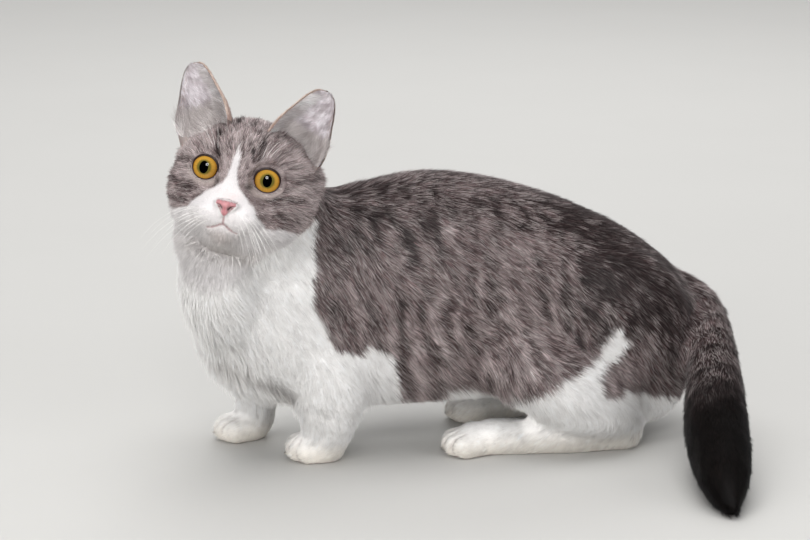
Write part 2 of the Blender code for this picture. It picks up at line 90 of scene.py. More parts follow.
Array = np.ndarray
Item = bpy.types.Object
Material = bpy.types.Material
Node = bpy.types.Node
Socket = bpy.types.NodeSocket
Chance = np.random.Generator
Colour = tuple[float, float, float]
Place = tuple[float, float, float]
Line = tuple[tuple[float, float], ...]


def smoothstep(low: float, high: float, values: Array) -> Array:
    """Rises from 0 at low to 1 at high, with level ends."""
    share = np.clip((values - low) / (high - low), 0, 1)
    return share * share * (3 - 2 * share)


def bell(*parts: tuple[Array, float]) -> Array:
    """A bump that is 1 where all values are 0 and falls off over the width given with each."""
    return np.exp(-sum((values / width) ** 2 for values, width in parts))


def unit(vectors: Array) -> Array:
    """The vectors at length 1."""
    return vectors / np.maximum(np.linalg.norm(vectors, axis=-1, keepdims=True), 1e-9)


def linear(red: float, green: float, blue: float) -> Array:
    """A colour given as on a screen, from 0 to 255, as the linear values that a shader takes."""
    screen = np.array((red, green, blue)) / 255
    return np.where(screen <= 0.04045, screen / 12.92, ((screen + 0.055) / 1.055) ** 2.4)


def blend(first: Array, second: Array, share: Array) -> Array:
    """Goes from the first colour to the second as share goes from 0 to 1."""
    share = np.clip(share, 0, 1)[:, None]
    return first * (1 - share) + second * share


def lattice_noise(points: Array, size: float, seed: int) -> Array:
    """Smooth noise from -1 to 1.

    Args:
        points: places, one a row.
        size: the distance over which the noise changes.
        seed: which noise this is.

    Returns:
        One value a point.
    """
    table = np.random.default_rng(seed).random(4096) * 2 - 1
    scaled = points / size
    cell = np.floor(scaled).astype(np.int64)
    part = scaled - cell
    part = part * part * (3 - 2 * part)
    total = np.zeros(len(points))
    for corner in product((0, 1), repeat=points.shape[1]):
        key = np.zeros(len(points), np.int64)
        weight = np.ones(len(points))
        for axis, (step, prime) in enumerate(zip(corner, (73856093, 19349663, 83492791))):
            key ^= (cell[:, axis] + step) * prime
            weight *= part[:, axis] if step else 1 - part[:, axis]
        total += table[key & 4095] * weight
    return total


def line_distance(points: Array, line: Line | tuple[Place, ...]) -> tuple[Array, Array, Array]:
    """How far places are from a line of straight runs.

    Args:
        points: places, one a row.
        line: the corners of the line.

    Returns:
        The distance, the number of the nearest run, and the share of that run at the nearest place.
    """
    best = np.full(len(points), FAR_AWAY)
    number, passed = np.zeros(len(points), int), np.zeros(len(points))
    for index, (start, end) in enumerate(zip(line, line[1:])):
        start, run = np.array(start, float), np.subtract(end, start)
        share = np.clip((points - start) @ run / (run @ run), 0, 1)
        away = np.linalg.norm(points - start - share[:, None] * run, axis=1)
        nearer = away < best
        best[nearer], number[nearer], passed[nearer] = away[nearer], index, share[nearer]
    return best, number, passed


def inside_distance(points: Array, outline: Line) -> Array:
    """How far flat points lie inside a closed outline.

    Args:
        points: places in a plane, one a row.
        outline: the outline's corners.

    Returns:
        The distance from the outline, with a minus sign outside it.
    """
    closed = (*outline, outline[0])
    away = line_distance(points, closed)[0]
    crossed = np.zeros(len(points), bool)
    x, y = points.T
    for (x0, y0), (x1, y1) in zip(closed, closed[1:]):
        if y0 != y1:
            spans = (y0 > y) != (y1 > y)
            crossed ^= spans & (x < (x1 - x0) * (y - y0) / (y1 - y0) + x0)
    return np.where(crossed, away, -away)


def nearest(places: Array, points: Array) -> Array:
    """Finds the nearest place to each point.

    Args:
        places: the places, one a row.
        points: the points, one a row.

    Returns:
        The number of a place for each point.
    """
    tree = KDTree(len(places))
    for index, place in enumerate(places):
        tree.insert(place, index)
    tree.balance()
    return np.array([tree.find(point)[1] for point in points])


def turned(axis: str, degrees: float) -> Matrix:
    """A rotation about one axis."""
    return Matrix.Rotation(math.radians(degrees), 4, axis)


@dataclass(frozen=True)
class Placement:
    """A turn and a place: from a part's own frame to the cat's."""

    turn: Array
    place: Array

    @staticmethod
    def of(matrix: Matrix) -> "Placement":
        """The placement that a matrix holds."""
        whole = np.array(matrix)
        return Placement(whole[:3, :3], whole[:3, 3])

    def out(self, points: Array) -> Array:
        """From the part's frame to the cat's."""
        return np.asarray(points, float) @ self.turn.T + self.place

    def into(self, points: Array) -> Array:
        """From the cat's frame to the part's."""
        return (points - self.place) @ self.turn

    def aim(self, vectors: Array) -> Array:
        """Directions from the part's frame to the cat's."""
        return np.asarray(vectors, float) @ self.turn.T


@dataclass(frozen=True)
class EarSeat:
    """Where an ear stands on the head, and by how many degrees it turns out and leans."""

    place: Place
    turn: float
    lean: float


@dataclass(frozen=True)
class HeadSizes:
    """Where the head, eyes and ears are. The head's frame has x to the cat's left, y to the back and z up."""

    place: Place = (-138.1, -70.0, 193.0)
    turn: float = -16.5
    nod: float = -9.0
    tilt: float = 12.0
    eye_out: float = 17.7
    eye_deep: float = 8.6
    eye_splay: float = 8.0
    eye_radius: float = 10.5
    opening: tuple[float, float] = (7.8, 7.1)
    ear_left: EarSeat = EarSeat((29.2, 21.0, 20.8), 18.0, 19.0)
    ear_right: EarSeat = EarSeat((-28.5, 21.0, 22.8), 31.0, 27.5)
    ear_pitch: float = -6.0
    ear_height: float = 39.5

    def matrix(self) -> Matrix:
        """From the head's frame to the cat's."""
        turn = turned("Z", self.turn) @ turned("X", self.nod) @ turned("Y", self.tilt)
        return Matrix.Translation(self.place) @ turn

    def head(self) -> Placement:
        """The head's placement."""
        return Placement.of(self.matrix())

    def eye(self, side: str) -> Placement:
        """An eyeball's placement. It looks to -y of its own frame."""
        step = Matrix.Translation((SIDES[side] * self.eye_out, self.eye_deep, 0))
        return Placement.of(self.matrix() @ step @ turned("Z", SIDES[side] * self.eye_splay))

    def look(self, side: str, points: Array) -> tuple[Array, Array]:
        """Places in an eye's frame, and how far each is from its axis, with the opening's edge at 1."""
        own = self.eye(side).into(points)
        return own, np.hypot(own[:, 0] / self.opening[0], own[:, 2] / self.opening[1])

    def ear(self, side: str) -> Placement:
        """An ear's placement. It opens to -y of its own frame and rises along z.

        Args:
            side: which ear.

        Returns:
            The placement.
        """
        sign, seat = SIDES[side], getattr(self, "ear_" + side)
        step = self.matrix() @ Matrix.Translation(seat.place)
        turn = turned("Z", sign * seat.turn) @ turned("Y", sign * seat.lean)
        return Placement.of(step @ turn @ turned("X", self.ear_pitch))


SIZES = HeadSizes()


class Studio:
    """Carries the cat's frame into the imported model's, and back."""

    shift: Array = np.zeros(3)

    @classmethod
    def settle(cls) -> None:
        """Finds the shift between the two frames from the left eye's solid."""
        low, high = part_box("eye_left")
        cls.shift = (np.array(low) + np.array(high)) / 2 / MM - SIZES.eye("left").place

    @classmethod
    def metres(cls, points: Array) -> Array:
        """From the cat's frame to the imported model's."""
        return (np.asarray(points, float) + cls.shift) * MM

    @classmethod
    def millimetres(cls, points: Array) -> Array:
        """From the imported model's frame to the cat's."""
        return points / MM - cls.shift


def select_only(*chosen: Item) -> None:
    """Selects these objects alone and makes the last one active.

    Args:
        chosen: the objects.
    """
    bpy.ops.object.select_all(action="DESELECT")
    for item in chosen:
        item.select_set(True)
    bpy.context.view_layer.objects.active = chosen[-1]


@contextmanager
def editing(item: Item, choice: str = "SELECT") -> Iterator[None]:
    """Edit mode on one object.

    Args:
        item: the object.
        choice: what happens to its selection first: SELECT, DESELECT, or KEEP.
    """
    select_only(item)
    bpy.ops.object.mode_set(mode="EDIT")
    if choice != "KEEP":
        bpy.ops.mesh.select_all(action=choice)
    yield
    bpy.ops.object.mode_set(mode="OBJECT")


def join(items: list[Item]) -> None:
    """Joins objects into the last one."""
    select_only(*items)
    bpy.ops.object.join()


def linked(name: str, data: bpy.types.ID) -> Item:
    """Adds an object to the scene.

    Args:
        name: its name.
        data: its mesh, curve, light or camera.

    Returns:
        The object.
    """
    made = bpy.data.objects.new(name, data)
    bpy.context.scene.collection.objects.link(made)
    return made


def modify(item: Item, kind: str, **values: object) -> None:
    """Changes an object by a modifier, which is applied at once.

    Args:
        item: the object.
        kind: the modifier's type.
        values: its own values.
    """
    made = item.modifiers.new(kind.lower(), kind)
    for name, value in values.items():
        setattr(made, name, value)
    select_only(item)
    bpy.ops.object.modifier_apply(modifier=made.name)


def ball(segments: int, rings: int) -> Item:
    """Adds a ball of radius 1 to the scene.

    Args:
        segments: its faces round the equator.
        rings: its faces from pole to pole.

    Returns:
        The ball, alone selected.
    """
    bpy.ops.object.select_all(action="DESELECT")
    bpy.ops.mesh.primitive_uv_sphere_add(segments=segments, ring_count=rings, radius=1.0)
    return bpy.context.object


def enlist(item: Item, slot: str, *nodes: str) -> Item:
    """Makes an object a piece of the cat.

    Args:
        item: the object.
        slot: not used.
        nodes: the solids that it stands in for.

    Returns:
        The object.
    """
    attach(item, "root")
    if nodes:
        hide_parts(*nodes)
    return item


def new_piece(name: str, points: Array, faces: list | Array, slot: str) -> Item:
    """Makes a piece of the cat from points in the cat's frame.

    Args:
        name: the piece's name.
        points: its corners, in millimetres.
        faces: its faces, as a list of corner lists or as an array with one triangle a row.
        slot: the record's material slot.

    Returns:
        The new object, riding on the cat.
    """
    mesh = bpy.data.meshes.new(name)
    if isinstance(faces, np.ndarray):
        mesh.vertices.add(len(points))
        mesh.vertices.foreach_set("co", Studio.metres(points).astype(np.float32).ravel())
        mesh.loops.add(faces.size)
        mesh.loops.foreach_set("vertex_index", faces.astype(np.int32).ravel())
        mesh.polygons.add(len(faces))
        mesh.polygons.foreach_set("loop_start", np.arange(0, faces.size, faces.shape[1], dtype=np.int32))
        mesh.update(calc_edges=True)
    else:
        mesh.from_pydata([tuple(point) for point in Studio.metres(points)], [], faces)
    mesh.polygons.foreach_set("use_smooth", np.ones(len(mesh.polygons), bool))
    return enlist(linked(name, mesh), slot)


def set_colours(mesh: bpy.types.Mesh, name: str, colours: Array) -> None:
    """Stores one linear colour a point under a name that materials read.

    Args:
        mesh: the mesh.
        name: the name.
        colours: the colours, one a row.
    """
    layer = mesh.attributes.new(name, "FLOAT_COLOR", "POINT")
    whole = np.concatenate((np.clip(colours, 0, 1), np.ones((len(colours), 1))), axis=1)
    layer.data.foreach_set("color", whole.astype(np.float32).ravel())


def read_rows(source: object, name: str, width: int = 3, kind: type = np.float32) -> Array:
    """Reads what each item of a mesh's list holds.

    Args:
        source: the list, such as the mesh's vertices.
        name: what is read of each item.
        width: how many numbers that is.
        kind: their type.

    Returns:
        One row an item.
    """
    flat = np.empty(len(source) * width, kind)
    source.foreach_get(name, flat)
    return flat.reshape(-1, width)


def mesh_points(mesh: bpy.types.Mesh) -> Array:
    """The corners of a mesh, in the cat's frame."""
    return Studio.millimetres(read_rows(mesh.vertices, "co").astype(float))


def face_centres(mesh: bpy.types.Mesh) -> Array:
    """The middles of a mesh's faces, in the cat's frame."""
    return Studio.millimetres(read_rows(mesh.polygons, "center"))


def move_points(mesh: bpy.types.Mesh, points: Array) -> None:
    """Moves the corners of a mesh to places in the cat's frame."""
    mesh.vertices.foreach_set("co", Studio.metres(points).astype(np.float32).ravel())
    mesh.update()


class Finish:
    """The start of a finish: a material with one surface shader, and short ways to add to it."""

    def __init__(self, name: str) -> None:
        """Makes the material.

        Args:
            name: its name.
        """
        self.material = bpy.data.materials.new(name)
        self.material.use_nodes = True
        self.tree = self.material.node_tree
        self.shader = self.tree.nodes["Principled BSDF"]

    def feed(self, node: Node, inputs: dict[str | int, object]) -> None:
        """Gives a node's inputs what they take.

        Args:
            node: the node.
            inputs: a socket to link or a value, for each input's name or number.
        """
        for name, value in inputs.items():
            if isinstance(value, Socket):
                self.tree.links.new(value, node.inputs[name])
            else:
                node.inputs[name].default_value = value

    def node(self, kind: str, inputs: dict[str | int, object], **values: object) -> Node:
        """Adds a node.

        Args:
            kind: the node's type.
            inputs: what its inputs take.
            values: its own values.

        Returns:
            The node.
        """
        made = self.tree.nodes.new(kind)
        for name, value in values.items():
            setattr(made, name, value)
        self.feed(made, inputs)
        return made

    def set(self, **values: object) -> None:
        """Feeds the shader's inputs, with underscores in place of the spaces in their names."""
        self.feed(self.shader, {name.replace("_", " "): value for name, value in values.items()})

    def attribute(self, name: str) -> Socket:
        """The colour stored on the mesh under a name."""
        return self.node("ShaderNodeAttribute", {}, attribute_name=name).outputs["Color"]

    def place(self) -> Socket:
        """The object's own coordinates, in metres."""
        return self.node("ShaderNodeTexCoord", {}).outputs["Object"]

    def noise(self, scale: float, detail: float = 3.0, where: Socket | None = None) -> Socket:
        """Noise from 0 to 1, with scale changes in a metre, on the object's own coordinates or on others."""
        inputs = {"Scale": scale, "Detail": detail, "Vector": where or self.place()}
        return self.node("ShaderNodeTexNoise", inputs).outputs["Fac"]

    def spread(self, value: Socket, low: float, high: float) -> Socket:
        """Carries a value's range of 0 to 1 over to another range."""
        inputs = {"Value": value, "To Min": low, "To Max": high}
        return self.node("ShaderNodeMapRange", inputs).outputs["Result"]

    def math(self, operation: str, first: Socket | float, second: Socket | float = 0.0) -> Socket:
        """One sum on two values or sockets."""
        return self.node("ShaderNodeMath", {0: first, 1: second}, operation=operation).outputs[0]

    def reach(self, across: Socket, up: Socket) -> Socket:
        """How far a place is from the middle."""
        squares = self.math("POWER", across, 2), self.math("POWER", up, 2)
        return self.math("SQRT", self.math("ADD", *squares))

    def times(self, colour: Socket, value: Socket) -> Socket:
        """A colour times a value."""
        return self.node("ShaderNodeVectorMath", {0: colour, "Scale": value}, operation="SCALE").outputs[0]

    def bump(self, height: Socket, strength: float, distance: float) -> None:
        """Raises the surface by a height from 0 to 1, where 1 stands for a distance in metres."""
        inputs = {"Strength": strength, "Distance": distance, "Height": height}
        self.set(Normal=self.node("ShaderNodeBump", inputs).outputs["Normal"])


@dataclass(frozen=True)
class FurFinish:
    """Short fur. Its colour is the markings with their painted shade, broken up by fine noise."""

    name: str
    roughness: float = 0.6
    specular: float = 0.3
    sheen: float = 0.12
    sheen_roughness: float = 0.4
    grain: float = 1400.0
    uneven: tuple[float, float] = (0.86, 1.14)
    raised: float = 0.35
    raised_by: float = 0.0004

    def material(self) -> Material:
        """Builds the material.

        Returns:
            The material.
        """
        finish = Finish(self.name)
        finish.set(Roughness=self.roughness, Specular_IOR_Level=self.specular)
        finish.set(Sheen_Weight=self.sheen, Sheen_Roughness=self.sheen_roughness)
        fine = finish.noise(self.grain)
        finish.set(Base_Color=finish.times(finish.attribute(MARKED), finish.spread(fine, *self.uneven)))
        finish.bump(fine, self.raised, self.raised_by)
        return finish.material


@dataclass(frozen=True)
class EyeFinish:
    """A wet eye: pupil, olive ring, amber iris with fine rays, dark edge and white."""

    name: str = "wet_amber_eye"
    pupil: tuple[float, float] = (2.75, 3.75)
    pupil_edge: tuple[float, float] = (0.96, 1.05)
    iris: float = 7.7
    reach: float = 1.3
    ray_count: float = 9.0
    ray_sway: float = 0.14
    ray_tones: tuple[float, float] = (0.72, 1.3)
    black: Colour = (2, 2, 3)
    olive: Colour = (96, 88, 40)
    gold: Colour = (172, 130, 52)
    amber: Colour = (150, 104, 34)
    rim: Colour = (36, 24, 14)
    white: Colour = (196, 186, 178)

    def material(self) -> Material:
        """Builds the material from the gaze: how far across and up a place is from the eye's axis.

        Returns:
            The material.
        """
        finish = Finish(self.name)
        finish.set(Roughness=0.4, Specular_IOR_Level=0.0, Coat_Weight=1.0, Coat_Roughness=0.02, Coat_IOR=1.42)
        gaze = finish.node("ShaderNodeSeparateXYZ", {0: finish.attribute(GAZE)}).outputs
        across, up = (finish.math("SUBTRACT", gaze[axis], 0.5) for axis in range(2))
        radius = finish.reach(across, up)
        wide, high = (half / GAZE_SPAN for half in self.pupil)
        slot = finish.reach(finish.math("DIVIDE", across, wide), finish.math("DIVIDE", up, high))
        streaks = finish.noise(2.2, 4, self.rays(finish, finish.math("ARCTAN2", up, across), radius))
        share = finish.math("MULTIPLY", radius, GAZE_SPAN / self.iris)
        sway = finish.math("MULTIPLY", finish.math("SUBTRACT", streaks, 0.5), self.ray_sway)
        iris = self.rings(finish, finish.math("DIVIDE", finish.math("ADD", share, sway), self.reach))
        near, far = self.pupil_edge
        edge = {"Value": slot, "From Min": near, "From Max": far}
        outside = finish.node("ShaderNodeMapRange", edge, interpolation_type="SMOOTHSTEP").outputs["Result"]
        rayed = finish.times(iris, finish.spread(streaks, *self.ray_tones))
        parts = {"Factor": outside, 6: (*linear(*self.black), 1), 7: rayed}
        finish.set(Base_Color=finish.node("ShaderNodeMix", parts, data_type="RGBA").outputs[2])
        return finish.material

    def rays(self, finish: Finish, angle: Socket, radius: Socket) -> Socket:
        """Coordinates that change fast round the eye and slowly from its middle outwards.

        Args:
            finish: the material being built.
            angle: the turn round the eye.
            radius: how far out a place is.

        Returns:
            The coordinates.
        """
        turns = (finish.math(turn, angle) for turn in ("COSINE", "SINE"))
        x, y = (finish.math("MULTIPLY", turn, self.ray_count) for turn in turns)
        inputs = {0: x, 1: y, 2: finish.math("MULTIPLY", radius, 5)}
        return finish.node("ShaderNodeCombineXYZ", inputs).outputs[0]

    def rings(self, finish: Finish, place: Socket) -> Socket:
        """The iris's rings of colour.

        Args:
            finish: the material being built.
            place: how far out a place is, as a share of the reach.

        Returns:
            The colour.
        """
        stops = (
            (0.0, self.olive), (0.5, self.olive), (0.64, self.gold), (0.8, self.gold), (0.9, self.amber),
            (0.97, self.rim), (1.06, self.rim), (1.14, self.white),
        )
        ramp = finish.node("ShaderNodeValToRGB", {"Fac": place})
        elements = ramp.color_ramp.elements
        while len(elements) > 1:
            elements.remove(elements[-1])
        elements[0].position = stops[0][0]
        elements[0].color = (*linear(*stops[0][1]), 1)
        for share, colour in stops[1:]:
            elements.new(share / self.reach).color = (*linear(*colour), 1)
        return ramp.outputs["Color"]


@dataclass(frozen=True)
class LeatherFinish:
    """Bare skin, such as the nose and the lips: a tint stored on the mesh and a fine pebbled grain."""

    name: str
    roughness: float = 0.42
    grain: float = 1500.0
    raised: float = 0.5
    raised_by: float = 0.0003
    glow: float = 0.12
    clouds: float = 350.0
    uneven: tuple[float, float] = (0.88, 1.12)

    def material(self) -> Material:
        """Builds the material.

        Returns:
            The material.
        """
        finish = Finish(self.name)
        finish.set(Roughness=self.roughness, Specular_IOR_Level=0.4, Subsurface_Weight=self.glow)
        finish.set(Subsurface_Radius=(0.003, 0.001, 0.0008), Subsurface_Scale=1.0)
        cells = finish.node("ShaderNodeTexVoronoi", {"Scale": self.grain, "Vector": finish.place()})
        clouds = finish.spread(finish.noise(self.clouds), *self.uneven)
        finish.set(Base_Color=finish.times(finish.attribute(MARKED), clouds))
        finish.bump(cells.outputs["Distance"], self.raised, self.raised_by)
        return finish.material


@dataclass(frozen=True)
class PlainFinish:
    """A quiet surface of one colour, with faint clouds in it."""

    name: str
    colour: Colour
    roughness: float = 0.5
    grain: float = 40.0
    uneven: tuple[float, float] = (0.97, 1.03)

    def material(self) -> Material:
        """Builds the material.

        Returns:
            The material.
        """
        finish = Finish(self.name)
        finish.set(Roughness=self.roughness)
        clouds = finish.spread(finish.noise(self.grain), *self.uneven)
        plain = finish.node("ShaderNodeRGB", {})
        plain.outputs[0].default_value = (*linear(*self.colour), 1)
        finish.set(Base_Color=finish.times(plain.outputs[0], clouds))
        return finish.material


def both(name: str) -> tuple[str, str]:
    """The left and right solid of a pair."""
    return name + "_left", name + "_right"


@dataclass(frozen=True)
class Region:
    """One stretch of coat: the solids it lies on, how deep it is and how its hair lies."""

    names: tuple[str, ...]
    depth: float
    length: float
    width: float
    lift: float
    density: float
    lie: Place | None = None


class Lie(Enum):
    """The regions of the coat. Those without a fixed lie work it out from the head or the tail."""

    HEAD = Region(("head", "nose", *both("eye")), 1.7, 6.5, 0.2, 17, 1.7)
    NECK = Region(("neck",), 3.2, 10.0, 0.25, 20, 1.0, (0.35, 0, -0.95))
    CHEST = Region(("chest",), 3.6, 10.5, 0.26, 21, 1.0, (0.42, 0.1, -0.9))
    SHOULDER = Region(both("shoulder"), 3.2, 8.5, 0.24, 19, 1.1, (0.5, 0, -0.87))
    FORELEG = Region(both("foreleg"), 2.4, 7.5, 0.24, 17, 1.2, (0.25, 0, -1))
    FOREPAW = Region(both("forepaw"), 1.2, 4.2, 0.2, 14, 1.9, (-0.9, 0, -0.5))
    ABDOMEN = Region(("abdomen",), 3.4, 8.5, 0.24, 19, 1.1, (0.72, 0, -0.7))
    RUMP = Region(("rump",), 3.4, 8.5, 0.24, 18, 1.05, (0.78, 0, -0.62))
    HAUNCH = Region(both("haunch"), 3.4, 9.0, 0.24, 20, 1.05, (0.66, 0, -0.75))
    HIND_FOOT = Region(both("hind_foot"), 2.2, 7.0, 0.24, 18, 1.2, (-0.6, 0, -0.6))
    HINDPAW = Region(both("hindpaw"), 1.2, 4.2, 0.2, 14, 1.9, (-1, 0, -0.4))
    TAIL = Region(("tail_root", "tail_middle", "tail_tip"), 3.4, 9.0, 0.25, 19, 1.05)


LIES = list(Lie)
TAIL_PATH = (
    (150, 6, 92), (175, -8, 79), (173, -40, 65), (162, -78, 49), (150, -114, 32), (142, -142, 22.5),
    (135, -167, 17), (130, -192, 9.2),
)


@dataclass(frozen=True)
class Toes:
    """The four paws, each with its middle and heading, and the grooves between their toes."""

    paws: tuple[tuple[Place, float], ...] = (
        ((-79, -22, 9), 10.0), ((-115, 31, 9), 4.0), ((19, -36, 9), 7.0), ((41, 37, 9), -5.0),
    )
    reach: float = 30.0
    gaps: tuple[float, ...] = (-7.3, 0.0, 7.3)
    width: float = 1.0

    def groove(self, points: Array) -> Array:
        """How far each place lies in a groove between toes.

        Args:
            points: places in the cat's frame.

        Returns:
            A value from 0 to 1 for each.
        """
        depth = np.zeros(len(points))
        for centre, heading in self.paws:
            own = Placement.of(Matrix.Translation(centre) @ turned("Z", heading)).into(points)
            near = smoothstep(4, 10, -own[:, 0]) * (1 - smoothstep(3, 8, own[:, 2]))
            near = near * (np.linalg.norm(own, axis=1) < self.reach)
            for gap in self.gaps:
                depth = np.maximum(depth, near * bell((own[:, 1] - gap, self.width)))
        return depth


TOES = Toes()


@dataclass(frozen=True)
class Stroke:
    """A dark line of the face, on the head seen from in front."""

    line: Line
    width: float
    strength: float


@dataclass(frozen=True)
class Shade:
    """A soft tinted spot in the middle of the face, some of them painted shade: its height, its half sizes and
    how far back it goes.
    """

    colour: Colour
    height: float
    wide: float
    high: float
    back: float
    strength: float

    def lay(self, colour: Array, own: Array) -> Array:
        """Tints colours by their places in the head's frame."""
        spot = bell((own[:, 0], self.wide), (own[:, 2] - self.height, self.high)) * (own[:, 1] < self.back)
        return blend(colour, linear(*self.colour), spot * self.strength)


@dataclass(frozen=True)
class Markings:
    """The grey tabby and white pattern, as colours of the place on the cat, with painted shade in the breast's
    fold, between the toes and under the chin.
    """

    dark: Colour = (43, 31, 31)
    grey: Colour = (95, 78, 78)
    silver: Colour = (172, 157, 156)
    white: Colour = (221, 217, 217)
    bright: Colour = (252, 250, 248)
    cream: Colour = (250, 243, 233)
    black: Colour = (14, 8, 7)
    pale_skin: Colour = (206, 192, 187)
    # Painted shade in the fold between the breast and the forelegs.
    fold_shade: Colour = (150, 142, 138)
    band_pitch: float = 15.5
    ring_pitch: float = 17.0
    side_white: Line = (
        (-260, -20), (-260, 195), (-132, 195), (-112, 168), (-98, 158), (-83, 155), (-88, 139), (-84, 127),
        (-88, 110), (-85, 94), (-80, 81), (-72, 76), (-59, 74), (-52, 80), (-41, 70), (-33, 56), (-30, 42),
        (-20, 31), (-6, 33), (3, 45), (15, 44), (31, 40), (38, 38), (49, 43), (62, 52), (78, 59), (90, 64),
        (96, 75), (101, 83), (108, 81), (112, 73), (104, 63), (92, 55), (87, 47), (95, 39), (111, 40),
        (130, 36), (152, 30), (152, -20),
    )
    breast_fold: Line = ((-140, 68), (-129, 61), (-116, 55), (-98, 44))
    fold_width: float = 4.2
    face_white: Line = (
        (-1.6, 17.5), (-2.4, 13), (-2.8, 8), (-3.2, 3), (-3.6, -2), (-5.4, -5.5), (-9.6, -8.8), (-15.5, -14.2),
        (-20.6, -20.4), (-24, -25), (-30, -27), (-45, -30), (-90, -60), (-90, -220), (90, -220), (90, -60),
        (52, -26), (39, -27.4), (32, -26.6), (25.2, -28), (21.3, -24.2), (15.8, -17.4), (9.8, -12.6),
        (4.8, -7.8), (2.5, -3.3), (1.5, 1), (0.9, 6), (0.1, 12),
    )
    strokes: tuple[Stroke, ...] = (
        Stroke(((-14.6, 21), (-13.8, 17.3), (-13.6, 13.1), (-11.6, 9.3)), 1.6, 0.8),
        Stroke(((-8.6, 18.3), (-6.1, 14.6)), 0.9, 0.5),
        Stroke(((-10.9, 32.8), (-7.7, 28.6)), 1.2, 0.6),
        Stroke(((-5.7, 33.8), (-6.5, 28.9)), 1.1, 0.6),
        Stroke(((1.1, 32.7), (4.5, 27.5), (7.5, 24.5)), 1.2, 0.6),
        Stroke(((0.6, 17.1), (3.1, 10.4), (6, 5)), 0.9, 0.5),
        Stroke(((5, 19.2), (7.3, 13.7), (8.7, 9.2)), 1.0, 0.6),
        Stroke(((12.4, 20.7), (11.9, 14.6), (10.7, 11.3)), 1.8, 0.8),
        Stroke(((12, 23), (13.7, 29.3), (17.9, 32.5)), 1.3, 0.6),
        Stroke(((16.9, 25.1), (25.9, 28.1)), 1.2, 0.5),
        Stroke(((-16, 27), (-13, 24)), 1.2, 0.45),
        Stroke(((29.5, 3.7), (35.7, 2.6), (45.6, 6.9)), 1.6, 0.5),
        Stroke(((20.5, -11.2), (30.7, -8), (40.3, -8.5)), 2.0, 0.5),
        Stroke(((28.1, -19.3), (37.8, -19.8)), 2.0, 0.55),
        Stroke(((-37, -10.6), (-28, -13.6), (-20.9, -13.4)), 1.9, 0.55),
        Stroke(((-36.6, -21.3), (-26.4, -21.7)), 1.9, 0.5),
        Stroke(((-27, 3), (-36, 1)), 1.4, 0.4),
    )
    # The chin's spot is partly the grey of thin fur on the chin and partly painted shade on its underside.
    chin: Shade = Shade((186, 176, 172), -37.5, 8.5, 5.0, 12, 0.7)
    # The throat's spot is painted shadow beneath the chin.
    throat: Shade = Shade((186, 178, 172), -47, 26, 6, 30, 0.55)
    bridge: Shade = Shade((222, 196, 194), -12.5, 5.0, 3.2, 6, 0.4)

    def tabby(self, tone: Array) -> Array:
        """The grey coat's colours: dark at a tone of 0, grey at a half and silver at 1."""
        colour = blend(linear(*self.dark), linear(*self.grey), tone * 2)
        return blend(colour, linear(*self.silver), tone * 2 - 1)

    def body(self, points: Array) -> tuple[Array, Array]:
        """The body's colours.

        Args:
            points: places in the cat's frame.

        Returns:
            The colours, and how white each is from 0 to 1.
        """
        x, _, z = points.T
        wander = lattice_noise(points, 16, seed=3) * 4 + lattice_noise(points, 5, seed=4) * 2.2
        ragged = lattice_noise(points, 6, seed=9) * 2.2 + lattice_noise(points, 2, seed=10) * 1.2
        flat = np.stack((x, z), axis=1) + (wander * 0.5)[:, None]
        white = smoothstep(-1.8, 1.8, inside_distance(flat, self.side_white) + ragged)
        return blend(self.tabby(self.bands(points, wander)), self.clean(points), white), white

    def bands(self, points: Array, wander: Array) -> Array:
        """The body's tone: upright broken bands with flecks, darker on the back and the rump.

        Args:
            points: places in the cat's frame.
            wander: how far each strays along the body.

        Returns:
            The tones, from 0 for dark to 1 for silver.
        """
        x, _, z = points.T
        drift = lattice_noise(points, 22, seed=5) * 5
        bands = np.sin(2 * math.pi * (x + wander + drift + 0.18 * (z - 100)) / self.band_pitch)
        broken = smoothstep(-0.5, 0.4, lattice_noise(points / (1, 1, 2.2), 9, seed=6))
        zone = smoothstep(-82, -50, x) * (1 - smoothstep(66, 96, x)) * (1 - smoothstep(146, 168, z))
        small = lattice_noise(points / (1, 1, 1.7), 3.2, seed=8)
        flecks = small * 0.24 + lattice_noise(points / (1, 1, 1.6), 6.5, seed=7) * 0.22
        tone = 0.47 + 0.32 * bands * broken * zone + flecks
        rear, low = smoothstep(85, 140, x), 1 - smoothstep(60, 100, z)
        tone += 0.14 * (1 - smoothstep(50, 110, z)) - 0.16 * rear * low
        saddle = bell((x + 45, 30), (z - 150, 26))
        high_rump = smoothstep(50, 105, x) * smoothstep(52, 92, z)
        tone -= 0.12 * saddle + 0.26 * smoothstep(125, 165, z) + 0.5 * high_rump
        return tone

    def clean(self, points: Array) -> Array:
        """The body's white: creamy at the paws, with painted shade over the skin's colour between the toes and
        painted shade in the breast's fold.

        Args:
            points: places in the cat's frame.

        Returns:
            The colours.
        """
        clean = blend(linear(*self.bright), linear(*self.cream), 1 - smoothstep(2, 20, points[:, 2]))
        # Painted shade in the grooves between the toes, over the skin's colour that shows there.
        clean = blend(clean, linear(*self.pale_skin) * 0.62, TOES.groove(points) * 0.75)
        # Painted shade in the breast's fold, in streaks.
        streaks = 0.6 + 0.6 * lattice_noise(points / (1, 1, 2), 3, seed=18)
        return blend(clean, linear(*self.fold_shade), np.clip(self.fold(points) * streaks, 0, 1) * 0.6)

    def fold(self, points: Array) -> Array:
        """How deep each place lies in the fold between the breast and the forelegs, from 0 to 1."""
        away = line_distance(points[:, ::2], self.breast_fold)[0]
        return bell((away, self.fold_width)) * (1 - smoothstep(-20, 0, points[:, 1]))

